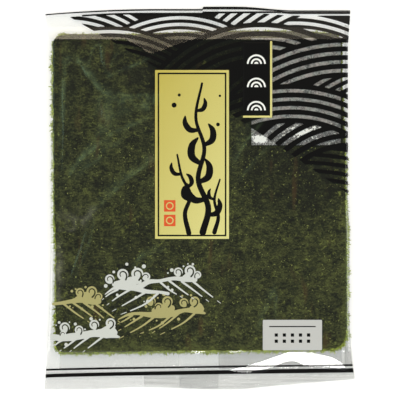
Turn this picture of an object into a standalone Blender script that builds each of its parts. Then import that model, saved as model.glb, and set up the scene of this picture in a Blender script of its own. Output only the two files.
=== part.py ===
"""A sealed pouch of clear film round a stack of roasted nori sheets, lying on its back.

Metres, +Z up. The origin is under the pouch's middle, on the surface it lies on. +Y is the way the
pouch reads upright, and its printed front faces up. The film is tight round the stack: it pinches
to a waist beside the sheets, flares to the four sealed corners, and slopes down from the stack's
top and bottom edges to the two flat seals.
"""

import math

import bmesh
import bpy

# The pouch, flat on the table
BAG_WIDTH = 0.2008          # across the sealed bottom corners, its widest place
BAG_LENGTH = 0.2474         # from the lowest cut to the highest cut

# Its left side: the waist's distance from the middle, and where it flares to the corners
LEFT_WAIST = 0.0966
LEFT_LOW_FLARE = (-0.010, -BAG_LENGTH / 2)
LEFT_HIGH_FLARE = (0.093, 0.1188)

# Its right side, which swells a little beside the stack before it flares
RIGHT_WAIST = 0.0959
RIGHT_SWELL = 0.0012
RIGHT_SWELL_SPAN = (0.010, -0.040)
RIGHT_LOW_FLARE = (-0.075, -0.117)
RIGHT_HIGH_FLARE = (0.098, 0.121)
RIGHT_TOP_WIDENING = 0.0017

# The top cut rises from the left, steps up at the back seam and falls again
TOP_RISE = 0.0034
TOP_RISE_END = -0.040
SEAM_X = 0.0020
SEAM_STEP = 0.0013
SEAM_STEP_HALF = 0.0008
TOP_FALL = 0.0024
TOP_FALL_SPAN = (0.024, 0.062)

# The bottom cut is bowed at the left and runs up to the right corner
BOTTOM_BOW = 0.0014
BOTTOM_BOW_X = -0.035
BOTTOM_BOW_REACH = 0.042
BOTTOM_CLIMB = 0.0065
BOTTOM_CLIMB_START = 0.029

# The stack of sheets that fills it
STACK_LEFT = -0.0948
STACK_RIGHT = 0.0952
STACK_LOW = -0.1003
STACK_HIGH = 0.1056

# The seals
TOP_SEAL_WIDTH = 0.0046
BOTTOM_SEAL_LINE = -0.1099  # where the bottom seal begins, at the left
BOTTOM_SEAL_RISE = 0.0016   # how much higher it begins at the right
BOTTOM_SEAL_SPAN = (0.030, 0.100)
SEAL_THICKNESS = 0.0004
SEAL_HEIGHT = 0.0013        # of the middle of a seal over the table
SEAL_WAVE = 0.0004
SEAL_WAVE_RUN = 0.019       # of one radian of its quick wave along the seal
SEAL_SWELL_RUN = 0.047      # and of its slow one
TOP_WAVE_PHASE = 0.6
BOTTOM_WAVE_PHASE = 2.1

# Heights over the table
FRONT_HEIGHT = 0.0052       # of the film at the rim of the stack
FRONT_CROWN = 0.0006        # how much more in the middle
CROWN_REACH = (0.100, 0.120)
BUCKLE = 0.00012            # of the shallow buckles all over
BUCKLE_RUN = (0.017, 0.021) # of one radian across and along
SIDE_HEIGHT = 0.0024        # of the middle of the side walls
SIDE_WALL = 0.0012          # the upright part of a side wall
SIDE_ROUNDING = 0.0015      # how far inside the stack's edge the side starts to turn down
END_ROUNDING = 0.0030       # and the ends

# The sticker on the front, lower right
STICKER_SIZE = (0.0382, 0.0196)
STICKER_CENTRE = (0.0598, -0.0883)
STICKER_THICKNESS = 0.00025
STICKER_GRID = (8, 4)
GAP = 0.0003                # between the sticker and the film

# Folds in the front film: start, end, height and half width of each ridge
FOLDS = (
    ((-0.0901, 0.0182), (-0.0288, 0.0536), 0.00045, 0.0060),
    ((-0.0579, 0.0020), (-0.0288, 0.0278), 0.00035, 0.0050),
    ((-0.0869, -0.0238), (-0.0708, -0.0657), 0.00040, 0.0060),
    ((-0.0417, -0.0367), (-0.0256, -0.0496), 0.00035, 0.0050),
    ((0.0370, -0.0560), (0.0445, -0.0700), 0.00050, 0.0055),
)

# The grid of each film face
CORE_COLUMNS = 24
CORE_ROWS = 26
SIDE_STEPS = (0.0, 0.25, 0.6)   # of a side margin, from the pouch's edge to the stack's rim
END_STEPS = (0.0, 0.18, 0.38, 0.58, 0.78)
TURN_STEPS = (0.0, 0.0015, 0.0040)  # distances inside the rim

NORI_GREEN = (0.045, 0.053, 0.028, 1.0)
PAPER_WHITE = (0.80, 0.80, 0.79, 1.0)


def linear(value, start, end):
    """0 at start and 1 at end, straight between them."""
    return min(max((value - start) / (end - start), 0.0), 1.0)


def eased(value, start, end):
    """0 at start and 1 at end, level at both."""
    t = linear(value, start, end)
    return t * t * (3.0 - 2.0 * t)


def left_edge(y):
    """x of the pouch's left side, which pinches to its waist beside the stack."""
    flare = BAG_WIDTH / 2 - LEFT_WAIST
    low = linear(y, *LEFT_LOW_FLARE) ** 2.2
    high = linear(y, *LEFT_HIGH_FLARE) ** 1.5
    return -(LEFT_WAIST + flare * max(low, high))


def right_edge(y):
    """x of the right side, which widens sooner and has a narrower top corner."""
    flare = BAG_WIDTH / 2 - RIGHT_WAIST - RIGHT_SWELL
    swell = RIGHT_SWELL * eased(y, *RIGHT_SWELL_SPAN)
    low = flare * linear(y, *RIGHT_LOW_FLARE) ** 2
    high = RIGHT_TOP_WIDENING * linear(y, *RIGHT_HIGH_FLARE)
    return RIGHT_WAIST + swell + low + high


def top_edge(x):
    """y of the top cut, with its step where the back seam makes one side stand higher."""
    rise = TOP_RISE * math.sin(linear(x, -BAG_WIDTH / 2, TOP_RISE_END) * math.pi / 2)
    step = SEAM_STEP * eased(x, SEAM_X - SEAM_STEP_HALF, SEAM_X + SEAM_STEP_HALF)
    fall = TOP_FALL * eased(x, *TOP_FALL_SPAN)
    return BAG_LENGTH / 2 - TOP_RISE - SEAM_STEP + rise + step - fall


def bottom_edge(x):
    """y of the bottom cut."""
    bow = BOTTOM_BOW * (1.0 - eased(abs(x - BOTTOM_BOW_X), 0.0, BOTTOM_BOW_REACH))
    climb = BOTTOM_CLIMB * linear(x, BOTTOM_CLIMB_START, BAG_WIDTH / 2) ** 0.85
    return -BAG_LENGTH / 2 + bow + climb


def bottom_seal_line(x):
    """y where the bottom seal begins."""
    return BOTTOM_SEAL_LINE + BOTTOM_SEAL_RISE * eased(x, *BOTTOM_SEAL_SPAN)


def grid_lines(edge, rim, far_rim, far_edge, margin_steps, core_steps):
    """Places from edge to far_edge, close together at the two rims of the stack."""
    near = [edge + (rim - edge) * step for step in margin_steps]
    near += [rim + step for step in TURN_STEPS]
    far = [far_edge + (far_rim - far_edge) * step for step in margin_steps]
    far += [far_rim - step for step in TURN_STEPS]
    start, span = near[-1], far[-1] - near[-1]
    core = [start + span * k / core_steps for k in range(1, core_steps)]
    return near + core + far[::-1]


def columns_at(y):
    """x of each grid line at this y."""
    return grid_lines(left_edge(y), STACK_LEFT, STACK_RIGHT, right_edge(y), SIDE_STEPS, CORE_COLUMNS)


def rows_at(x):
    """y of each grid line at this x."""
    return grid_lines(bottom_edge(x), STACK_LOW, STACK_HIGH, top_edge(x), END_STEPS, CORE_ROWS)


def grid_place(column, row):
    """x and y of a grid point. Each follows the outline at the other's place."""
    x = columns_at(0.0)[column]
    y = rows_at(x)[row]
    x = columns_at(y)[column]
    return x, rows_at(x)[row]


def fullness(x, y):
    """1 over the stack, falling to 0 at the two seals."""
    up = eased(y, top_edge(x) - TOP_SEAL_WIDTH, STACK_HIGH - END_ROUNDING)
    down = eased(y, bottom_seal_line(x), STACK_LOW + END_ROUNDING)
    return min(up, down)


def side_turn(x, y):
    """1 inside the stack, falling as a quarter of an ellipse to 0 at the pouch's sides."""
    right = linear(x, STACK_RIGHT - SIDE_ROUNDING, right_edge(y))
    left = linear(x, STACK_LEFT + SIDE_ROUNDING, left_edge(y))
    return math.sqrt(max(1.0 - max(left, right) ** 2, 0.0))


def fold_height(x, y):
    """How far the folds lift the front film."""
    total = 0.0
    for (x0, y0), (x1, y1), height, half_width in FOLDS:
        run, climb = x1 - x0, y1 - y0
        length = math.hypot(run, climb)
        t = ((x - x0) * run + (y - y0) * climb) / length ** 2
        across = abs((x - x0) * climb - (y - y0) * run) / length
        fade = math.sin(math.pi * t) if 0.0 < t < 1.0 else 0.0
        total += height * fade * math.exp(-((across / half_width) ** 2))
    return total


def seal_height(x, y):
    """Height of the middle of the nearest seal, which is a little wavy along its length."""
    phase = TOP_WAVE_PHASE if y > 0.0 else BOTTOM_WAVE_PHASE
    wave = math.sin(x / SEAL_WAVE_RUN + phase) * math.cos(x / SEAL_SWELL_RUN)
    return SEAL_HEIGHT + SEAL_WAVE * wave


def front_height(x, y):
    """Height of the front film."""
    full = fullness(x, y)
    crown = FRONT_CROWN * (1.0 - (x / CROWN_REACH[0]) ** 2) * (1.0 - (y / CROWN_REACH[1]) ** 2)
    buckle = BUCKLE * math.sin(x / BUCKLE_RUN[0] + 1.0) * math.cos(y / BUCKLE_RUN[1])
    seal = seal_height(x, y) + SEAL_THICKNESS / 2
    inside = seal + (FRONT_HEIGHT + crown + buckle + fold_height(x, y) - seal) * full
    rim = seal + (SIDE_HEIGHT + SIDE_WALL / 2 - seal) * full
    return rim + (inside - rim) * side_turn(x, y)


def back_height(x, y):
    """Height of the back film, flat on the table under the stack."""
    full = fullness(x, y)
    seal = seal_height(x, y) - SEAL_THICKNESS / 2
    inside = seal * (1.0 - full)
    rim = seal + (SIDE_HEIGHT - SIDE_WALL / 2 - seal) * full
    return inside + (rim - inside) * (1.0 - side_turn(x, y))


def slab(name, columns, rows, place, low, high, material):
    """A closed solid between two height functions, on a grid that place lays out."""
    bm = bmesh.new()
    bmesh.ops.create_grid(bm, x_segments=columns, y_segments=rows, size=0.5)
    lower = list(bm.verts)
    lifted = bmesh.ops.extrude_face_region(bm, geom=bm.faces[:], use_keep_orig=True)
    upper = [item for item in lifted["geom"] if isinstance(item, bmesh.types.BMVert)]
    for sheet, height in ((lower, low), (upper, high)):
        for vert in sheet:
            column = round((vert.co.x + 0.5) * columns)
            row = round((vert.co.y + 0.5) * rows)
            x, y = place(column, row)
            vert.co = (x, y, height(x, y))
    bmesh.ops.triangulate(bm, faces=bm.faces[:], quad_method="SHORT_EDGE")
    bmesh.ops.recalc_face_normals(bm, faces=bm.faces[:])
    mesh = bpy.data.meshes.new(name)
    bm.to_mesh(mesh)
    bm.free()
    mesh.shade_smooth()
    mesh.set_sharp_from_angle(angle=math.radians(40.0))
    mesh.materials.append(material)
    return bpy.data.objects.new(name, mesh)


def make_material(name, colour, roughness):
    """A plain Principled material with the part's mean colour."""
    material = bpy.data.materials.new(name)
    material.use_nodes = True
    shader = material.node_tree.nodes["Principled BSDF"]
    shader.inputs["Base Color"].default_value = colour
    shader.inputs["Roughness"].default_value = roughness
    shader.inputs["Metallic"].default_value = 0.0
    return material


def make_bag():
    """The pouch: film and sheets as one solid, out to the film's outer faces."""
    return slab("bag", len(columns_at(0.0)) - 1, len(rows_at(0.0)) - 1, grid_place,
                back_height, front_height, make_material("film_over_nori", NORI_GREEN, 0.18))


def make_sticker():
    """The paper sticker, a thin plate that follows the front film just clear of it."""
    width, length = STICKER_SIZE
    columns, rows = STICKER_GRID

    def place(column, row):
        return (STICKER_CENTRE[0] + width * (column / columns - 0.5),
                STICKER_CENTRE[1] + length * (row / rows - 0.5))

    def under(x, y):
        return front_height(x, y) + GAP

    def over(x, y):
        return under(x, y) + STICKER_THICKNESS

    return slab("count_sticker", columns, rows, place, under, over,
                make_material("paper", PAPER_WHITE, 0.55))


def main():
    """Clear the scene and build the pouch with its sticker."""
    for old in list(bpy.data.objects):
        bpy.data.objects.remove(old, do_unlink=True)
    pack = bpy.data.collections.new("nori_pack")
    bpy.context.scene.collection.children.link(pack)
    bag = make_bag()
    sticker = make_sticker()
    for piece in (bag, sticker):
        pack.objects.link(piece)
    sticker.parent = bag


main()
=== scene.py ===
"""Looks of a sealed pouch of roasted nori sheets, lying on its back with the printed front up.

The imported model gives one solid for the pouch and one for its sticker. This script replaces the first
with clear film, film print and ten loose sheets, and the second with sticker paper. Sizes are in
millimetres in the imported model's frame: +X to the right and +Y up as the print reads, +Z out of the
front. Meshes are turned into metres where they are made.
"""

from __future__ import annotations

import logging
import math
from dataclasses import dataclass, field
from enum import Enum
from typing import Callable, Iterable, Protocol, Sequence

import bmesh
import bpy
import numpy as np
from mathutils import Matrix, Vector

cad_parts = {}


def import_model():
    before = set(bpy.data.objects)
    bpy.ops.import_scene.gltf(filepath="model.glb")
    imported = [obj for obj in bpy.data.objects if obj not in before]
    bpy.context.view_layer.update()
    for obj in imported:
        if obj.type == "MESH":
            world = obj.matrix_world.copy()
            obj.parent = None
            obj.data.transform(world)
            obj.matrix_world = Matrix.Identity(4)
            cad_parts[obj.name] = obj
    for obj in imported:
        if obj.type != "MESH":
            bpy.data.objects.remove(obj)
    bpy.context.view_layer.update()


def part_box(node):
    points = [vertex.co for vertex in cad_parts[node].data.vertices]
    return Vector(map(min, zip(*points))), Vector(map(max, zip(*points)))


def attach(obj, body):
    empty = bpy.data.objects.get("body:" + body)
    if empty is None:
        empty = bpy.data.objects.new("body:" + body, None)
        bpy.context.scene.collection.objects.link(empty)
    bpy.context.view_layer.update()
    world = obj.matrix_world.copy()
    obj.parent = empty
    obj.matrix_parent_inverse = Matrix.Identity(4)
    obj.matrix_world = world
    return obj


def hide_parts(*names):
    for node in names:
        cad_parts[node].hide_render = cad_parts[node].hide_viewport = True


LOG = logging.getLogger("nori_pack")

MM = 0.001
BODY = "root"
# Numbers at each point of the film's mesh, which its material reads; the two sheen numbers are painted
# reflection, pale colour along the film's bend lines.
COOL_PAINTED_SHEEN, GREY_PAINTED_SHEEN, RUFFLE = "cool_haze", "grey_haze", "ruffle"

Array = np.ndarray
Point = tuple[float, float]
Triple = tuple[float, float, float]
Colour = tuple[float, float, float]
Shape = tuple[Array, list[list[int]]]
Piece = bpy.types.Object
Socket = bpy.types.NodeSocket
Material = bpy.types.Material

BLACK, WHITE = (0.0, 0.0, 0.0), (1.0, 1.0, 1.0)


class Slot(Enum):
    """The record's material slots."""

    FILM = "clear_film"
    NORI = "nori"
    BLACK = "black_ink"
    GOLD = "gold_ink"
    SILVER = "silver_ink"
    RED = "red_ink"
    PAPER = "paper"


INK_SLOTS = {"black_ink": Slot.BLACK, "gold_ink": Slot.GOLD, "wave_gold_ink": Slot.GOLD,
             "silver_ink": Slot.SILVER, "white_ink": Slot.SILVER, "red_ink": Slot.RED}


# --- Plain mathematics ---


def linear(value: Array | float, start: Array | float, end: Array | float) -> Array:
    """Rise from 0 at start to 1 at end, straight between them and held past them."""
    return np.clip((np.asarray(value, dtype=float) - start) / (end - start), 0.0, 1.0)


def eased(value: Array | float, start: Array | float, end: Array | float) -> Array:
    """Rise from 0 at start to 1 at end, level at both."""
    t = linear(value, start, end)
    return t * t * (3.0 - 2.0 * t)


def shares(count: int) -> Array:
    """Even shares from 0 to 1, both included."""
    return np.linspace(0.0, 1.0, count)


def even_grid(low: Point, high: Point, columns: int, rows: int) -> list[Array]:
    """x and y of an even grid of places between two corners, columns first."""
    return np.meshgrid(np.linspace(low[0], high[0], columns), np.linspace(low[1], high[1], rows),
                       indexing="ij")


def smooth_path(points: Sequence[Point], steps: int = 8) -> Array:
    """Draw a smooth curve through points, as a Catmull-Rom spline.

    Args:
        points: The points to pass through.
        steps: Pieces between two neighbours.

    Returns:
        Places along the curve, one a row.
    """
    p = np.asarray(points, dtype=float)
    if len(p) < 3:
        return p[0] + (p[-1] - p[0]) * shares(steps + 1)[:, None]
    ends = np.vstack([2 * p[0] - p[1], p, 2 * p[-1] - p[-2]])
    t = np.linspace(0.0, 1.0, steps, endpoint=False)[:, None]
    pieces = [0.5 * (2 * b + (c - a) * t + (2 * a - 5 * b + 4 * c - d) * t**2
                     + (3 * b - a - 3 * c + d) * t**3)
              for a, b, c, d in zip(ends[:-3], ends[1:-2], ends[2:-1], ends[3:])]
    return np.vstack(pieces + [p[-1:]])


def path_distance(points: Sequence[Point], x: Array, y: Array) -> tuple[Array, Array]:
    """Measure from places to a smooth path.

    Args:
        points: Places that the path passes through.
        x: Places across.
        y: Places along.

    Returns:
        The distance, positive to the left of the path, and a share that is 1 beside the path's
        middle and near 0 at its ends.
    """
    path = smooth_path(points)
    nearest = np.full(np.shape(x), 1e9)
    side, fade = np.ones(np.shape(x)), np.zeros(np.shape(x))
    for k, (a, b) in enumerate(zip(path[:-1], path[1:])):
        run, px, py = b - a, x - a[0], y - a[1]
        t = np.clip((px * run[0] + py * run[1]) / max(run @ run, 1e-9), 0, 1)
        away = np.hypot(px - run[0] * t, py - run[1] * t)
        closer = away < nearest
        nearest = np.where(closer, away, nearest)
        side = np.where(closer, np.where(run[0] * py - run[1] * px < 0.0, -1.0, 1.0), side)
        share = np.clip((k + t) / (len(path) - 1), 0.02, 0.98)
        fade = np.where(closer, np.sin(math.pi * share), fade)
    return nearest * side, fade


class LatticeNoise:
    """Smooth random relief over the plane, the same on each run."""

    size = 257

    def __init__(self, seed: int, pitch: float) -> None:
        """Draw the lattice, whose points are a pitch apart."""
        self.pitch = pitch
        self.values = np.random.default_rng(seed).uniform(-1.0, 1.0, (self.size, self.size))

    def __call__(self, x: Array, y: Array) -> Array:
        """Read the noise.

        Args:
            x: Places across.
            y: Places along.

        Returns:
            Values between -1 and 1.
        """
        u, v = np.asarray(x) / self.pitch + 64.0, np.asarray(y) / self.pitch + 64.0
        i, j = np.floor(u).astype(int), np.floor(v).astype(int)
        s, t = eased(u - i, 0.0, 1.0), eased(v - j, 0.0, 1.0)
        n = self.size
        low, high = (self.values[i % n, row % n] * (1 - s) + self.values[(i + 1) % n, row % n] * s
                     for row in (j, j + 1))
        return low * (1 - t) + high * t


# --- The pouch's form ---


@dataclass(frozen=True)
class Crease:
    """A fine crease in the front film: where it runs, its height and its half width."""

    points: tuple[Point, ...]
    height: float = 0.28
    half_width: float = 1.1

    def lift(self, x: Array, y: Array) -> Array:
        """How far the crease lifts the film at each place."""
        away, fade = path_distance(self.points, x, y)
        return self.height * fade**0.5 * np.exp(-((away / self.half_width) ** 2))


@dataclass(frozen=True)
class SheenLine:
    """A line where the front film has a bend, with a painted sheen beside it.

    The painted sheen is pale colour that stands in for the film's reflections along the bend. It reaches to
    the left and to the right of the line, and is grey or else a cool green.
    """

    points: tuple[Point, ...]
    strength: float
    left: float
    right: float
    grey: bool = False

    def haze(self, x: Array, y: Array) -> Array:
        """Share of the painted sheen's pale colour at each place."""
        away, fade = path_distance(self.points, x, y)
        reach = np.where(away > 0.0, self.left, self.right)
        return self.strength * fade**0.4 * np.exp(-((away / reach) ** 2))


@dataclass(frozen=True)
class PouchForm:
    """Outline and heights of the pouch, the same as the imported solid's."""

    width: float
    length: float

    left_waist: float = 96.6
    left_low_flare: Point = (-10.0, -123.7)
    left_high_flare: Point = (93.0, 118.8)
    right_waist: float = 95.9
    right_swell: float = 1.2
    right_swell_span: Point = (10.0, -40.0)
    right_low_flare: Point = (-75.0, -117.0)
    right_high_flare: Point = (98.0, 121.0)
    right_top_widening: float = 1.7
    top_rise: float = 3.4
    top_rise_end: float = -40.0
    seam_x: float = 2.0
    seam_step: float = 1.3
    seam_step_half: float = 0.4
    top_fall: float = 2.4
    top_fall_span: Point = (24.0, 62.0)
    bottom_bow: float = 1.4
    bottom_bow_x: float = -35.0
    bottom_bow_reach: float = 42.0
    bottom_climb: float = 6.5
    bottom_climb_start: float = 29.0

    stack_left: float = -94.8
    stack_right: float = 95.2
    stack_low: float = -100.3
    stack_high: float = 105.6

    top_seal_width: float = 4.6
    bottom_seal_line: float = -109.9
    bottom_seal_rise: float = 1.6
    seal_gap: float = 0.16
    seal_height_mean: float = 1.3
    seal_wave: float = 0.4

    front_level: float = 5.2
    front_crown: float = 0.6
    crown_reach: Point = (100.0, 120.0)
    buckle: float = 0.12
    buckle_run: Point = (17.0, 21.0)
    side_height: float = 2.4
    side_wall: float = 1.2
    side_rounding: float = 1.5
    top_rounding: float = 3.0
    bottom_rounding: float = 1.6
    back_level: float = 0.22

    slope_break: Point = (110.4, 0.16)
    dip_x: float = -31.5
    dip_depth: float = 9.5
    dip_reach: Point = (16.0, 27.0)
    tent_ridge: tuple[Point, ...] = (
        (19, -111.4), (30, -108.6), (41, -105), (50, -101.4), (56, -99), (64, -98.8), (73, -99.8),
        (82, -101.7), (88, -103.8), (92, -107), (95, -110))
    tent_foot: tuple[Point, ...] = (
        (19, -112.6), (40, -111.6), (49, -109), (54.5, -106.2), (59, -105.2), (63.5, -106.3),
        (67.5, -108.4), (91, -109.9), (95, -110.6))
    tent_plane: Triple = (2.9, -105.0, 0.22)
    slope_drop: float = 3.9

    # Broad folds: from, to, height and half width.
    folds: tuple[tuple[Point, Point, float, float], ...] = (
        ((-90.1, 18.2), (-28.8, 53.6), 0.45, 6),
        ((-57.9, 2), (-28.8, 27.8), 0.35, 5),
        ((-68, -20), (-86, -60), 0.4, 6),
        ((-41.7, -36.7), (-25.6, -49.6), 0.35, 5))
    creases: tuple[Crease, ...] = (
        Crease(((-86.6, 82), (-81.4, 89), (-75.4, 85.6), (-71.4, 77.8), (-63.5, 69.2))),
        Crease(((-70.8, 91), (-64.2, 100), (-62.2, 88.4), (-59.6, 83), (-62, 76))),
        Crease(((-57.6, 79.2), (-47, 83.6), (-37.2, 89))),
        Crease(((-87.2, 87), (-87.6, 62), (-87.2, 40), (-88.4, 12)), 0.23),
        Crease(((-64, 68.6), (-62.6, 56), (-60.8, 44)), 0.23),
        Crease(((-48.4, 66.4), (-40, 68), (-31.4, 68.6)), 0.21),
        Crease(((-90, 18), (-70, 27), (-48, 41), (-30, 53))),
        Crease(((-57, 2), (-45, 14), (-30, 27)), 0.23),
        Crease(((-67.5, -9), (-70.8, -27), (-77.2, -43.1), (-81, -52.8)), 0.22, 0.9),
        Crease(((-72, -10.9), (-73.3, -23.8), (-79.1, -41.2), (-83.7, -54.1)), 0.2, 0.9),
        Crease(((-34, -34), (-40, -46), (-47, -56)), 0.24),
        Crease(((-27, -37), (-34, -47), (-42, -57)), 0.23),
        Crease(((48.8, -56.5), (49.4, -66), (47.4, -75.6)), 0.24),
        Crease(((38, 38), (30, 22), (24, 8)), 0.23),
        Crease(((30, 40), (24, 28), (21, 12)), 0.2),
        Crease(((-91.6, -103), (-92.2, -107), (-91.4, -110.5)), 0.22, 0.7),
        Crease(((-54, -104.4), (-56.6, -107.6), (-57.6, -109.4)), 0.2, 0.7))
    # Lines of painted sheen: pale colour that stands in for the film's reflections along its creases and
    # bend lines.
    sheen_lines: tuple[SheenLine, ...] = (
        SheenLine(((-79.1, 91), (-84.3, 89.8), (-86.6, 84.6), (-87.2, 73), (-87.2, 60.1), (-88.2, 45.2),
            (-89.1, 31.1)), 0.058, 0.8, 1.5),
        SheenLine(((-88.5, 79.4), (-89.1, 63.3), (-89.8, 47.2)), 0.031, 0.8, 0.8),
        SheenLine(((-86.2, 87.2), (-80.4, 87.8), (-75.3, 83.6), (-70.8, 77.5), (-66.2, 71.7), (-61.7, 67.8)),
            0.085, 3, 0.8),
        SheenLine(((-72, 85.2), (-68.8, 96.2), (-64.3, 98.5), (-62.4, 90.4), (-59.8, 80.7)), 0.037, 0.8, 0.8),
        SheenLine(((-58.5, 78.1), (-57.2, 86.5), (-52.7, 94.3)), 0.037, 0.8, 0.8),
        SheenLine(((-59.8, 78.1), (-48.8, 82.7), (-37.9, 87.8), (-32.7, 90.4)), 0.061, 0.8, 0.8),
        SheenLine(((-56.6, 69.1), (-50.1, 67.5), (-43, 66.5), (-35.3, 67.2), (-28.2, 67.8)), 0.051, 0.5, 6),
        SheenLine(((-28.2, 64.6), (-32.7, 60.7), (-37.2, 58.1)), 0.075, 2.6, 2.6),
        SheenLine(((-63, 67.2), (-61.1, 58.1), (-61.1, 49.1), (-63.7, 41.4)), 0.042, 4.5, 4.5),
        SheenLine(((-59.1, 66.5), (-50.1, 55.6), (-39.8, 46.5)), 0.016, 9, 9),
        SheenLine(((-30.8, 53), (-40.4, 48.5), (-50.8, 44.6), (-61.1, 38.2), (-69.5, 30.4), (-77.9, 24.6),
            (-82.4, 19.4)), 0.046, 1.1, 1.1),
        SheenLine(((-52.7, 40.1), (-67.5, 26.5), (-81.1, 13.6)), 0.018, 5, 5),
        SheenLine(((-61.7, 47.2), (-66.9, 39.4), (-74.6, 29.1), (-79.8, 22.7)), 0.018, 1.5, 1.5),
        SheenLine(((-63.7, 36.2), (-72.7, 28.5), (-79.1, 22), (-86.9, 10.4)), 0.048, 1, 2.2),
        SheenLine(((-51.4, 36.2), (-64.3, 26.5), (-77.2, 16.9)), 0.027, 1, 1),
        SheenLine(((-27.5, 26.5), (-33.3, 22), (-45, 13.6), (-55.9, 3.3), (-65.6, -6.4)), 0.058, 0.8, 4.2),
        SheenLine(((-27.5, -30.9), (-32.1, -34.7), (-37.9, -38)), 0.04, 2.4, 2.4),
        SheenLine(((-37.2, -36), (-43.7, -44.4)), 0.051, 0.8, 0.8),
        SheenLine(((-21.7, -30.9), (-28.8, -38), (-35.9, -46.3)), 0.031, 0.8, 0.8),
        SheenLine(((-67.5, -8.9), (-70.8, -27), (-77.2, -43.1), (-81.1, -52.8)), 0.031, 0.8, 0.8),
        SheenLine(((-72, -10.9), (-73.3, -23.8), (-79.1, -41.2), (-83.7, -54.1)), 0.025, 0.8, 0.8),
        SheenLine(((40.2, 55.6), (30.5, 44), (24.7, 31.1), (19.5, 19.4)), 0.012, 4, 4),
        SheenLine(((40.2, 49.1), (29.9, 36.2), (20.8, 20.7)), 0.051, 0.9, 0.9),
        SheenLine(((49.2, 38.8), (33.7, 22), (24.7, 10.4)), 0.031, 1.1, 1.1),
        SheenLine(((48.6, -58), (44.1, -68.9), (37, -87)), 0.051, 0.8, 2.6),
        SheenLine(((48.6, -58), (48.9, -77.3)), 0.037, 0.8, 0.8),
        SheenLine(((-89.5, 89.1), (-89.5, 44), (-89.5, -1.2)), 0.008, 8, 8),
        SheenLine(((-92.7, -10.2), (-84.9, -12.8), (-77.2, -12.2), (-68.8, -8.9)), 0.038, 5.5, 5.5, True),
        SheenLine(((-92.7, -20.9), (-86.2, -21.2), (-81.7, -20.5), (-77.9, -16)), 0.051, 3.6, 0.6, True),
        SheenLine(((-91.4, -25.7), (-90.8, -41.2), (-91.1, -56), (-91.4, -67)), 0.11, 2.6, 2.6, True),
        SheenLine(((-77, -17.5), (-72, -10.5), (-67, -7.5)), 0.045, 2.6, 2.6, True))

    def left(self, y: Array) -> Array:
        """x of the left side at y."""
        flare = self.width / 2 - self.left_waist
        low, high = linear(y, *self.left_low_flare) ** 2.2, linear(y, *self.left_high_flare) ** 1.5
        return -(self.left_waist + flare * np.maximum(low, high))

    def right(self, y: Array) -> Array:
        """x of the right side at y."""
        flare = self.width / 2 - self.right_waist - self.right_swell
        swell = self.right_swell * eased(y, *self.right_swell_span)
        low = flare * linear(y, *self.right_low_flare) ** 2
        return self.right_waist + swell + low + self.right_top_widening * linear(y, *self.right_high_flare)

    def top(self, x: Array) -> Array:
        """y of the top cut at x."""
        rise = self.top_rise * np.sin(linear(x, -self.width / 2, self.top_rise_end) * math.pi / 2)
        half = self.seam_step_half
        step = self.seam_step * eased(x, self.seam_x - half, self.seam_x + half)
        fall = self.top_fall * eased(x, *self.top_fall_span)
        return self.length / 2 - self.top_rise - self.seam_step + rise + step - fall

    def bottom(self, x: Array) -> Array:
        """y of the bottom cut at x."""
        bow = self.bottom_bow * (1 - eased(np.abs(x - self.bottom_bow_x), 0, self.bottom_bow_reach))
        climb = self.bottom_climb * linear(x, self.bottom_climb_start, self.width / 2) ** 0.85
        return -self.length / 2 + bow + climb

    def bottom_seal(self, x: Array) -> Array:
        """y where the bottom seal begins at x."""
        return self.bottom_seal_line + self.bottom_seal_rise * eased(x, 30.0, 100.0)

    def seal_height(self, x: Array, y: Array) -> Array:
        """Height of the middle of the nearest seal."""
        phase = np.where(np.asarray(y) > 0.0, 0.6, 2.1)
        return self.seal_height_mean + self.seal_wave * np.sin(x / 19.0 + phase) * np.cos(x / 47.0)

    def slope_start(self, x: Array) -> Array:
        """y where the front film leaves the stack on its way to the top seal."""
        dip = np.minimum(linear(x, self.dip_x - self.dip_reach[0], self.dip_x),
                         linear(x, self.dip_x + self.dip_reach[1], self.dip_x))
        return self.stack_high - self.top_rounding - self.dip_depth * dip

    def fullness(self, x: Array, y: Array) -> Array:
        """1 over the stack, falling to 0 at the two seals."""
        at, share = self.slope_break
        up = share * linear(y, self.top(x) - self.top_seal_width, at)
        up = up + (1.0 - share) * linear(y, at, self.slope_start(x))
        return np.minimum(up, self.low_slope(x, y))

    def low_slope(self, x: Array, y: Array) -> Array:
        """The same for the bottom alone, where the right half is drawn into a shallow tent."""
        seal = self.bottom_seal(x)
        height, at, slope = self.tent_plane
        spread = linear(x, 17.0, 20.0) * linear(x, 97.0, 94.0)
        ridge, foot = (seal + (np.interp(x, *zip(*line)) - seal) * spread
                       for line in (self.tent_ridge, self.tent_foot))
        at_foot = (height + slope * (foot - at) - self.seal_height(x, y)) * spread
        climb = at_foot * linear(y, np.minimum(seal, foot - 1.0) - 0.01, foot)
        climb = climb + slope * np.clip(y - foot, 0.0, ridge - foot)
        at_ridge = at_foot + slope * (ridge - foot)
        full_at = np.maximum(self.stack_low + self.bottom_rounding, ridge + 1.8)
        return (climb + (self.slope_drop - at_ridge) * linear(y, ridge, full_at)) / self.slope_drop

    def back_fullness(self, x: Array, y: Array) -> Array:
        """The same for the back film, which eases up to the seals."""
        up = eased(y, self.top(x) - self.top_seal_width, self.stack_high - self.top_rounding)
        return np.minimum(up, eased(y, self.bottom_seal(x), self.stack_low + self.top_rounding))

    def side_turn(self, x: Array, y: Array) -> Array:
        """1 inside the stack, falling as a quarter of an ellipse to 0 at the sides."""
        right = linear(x, self.stack_right - self.side_rounding, self.right(y))
        left = linear(x, self.stack_left + self.side_rounding, self.left(y))
        return np.sqrt(np.maximum(1.0 - np.maximum(left, right) ** 2, 0.0))

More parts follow.
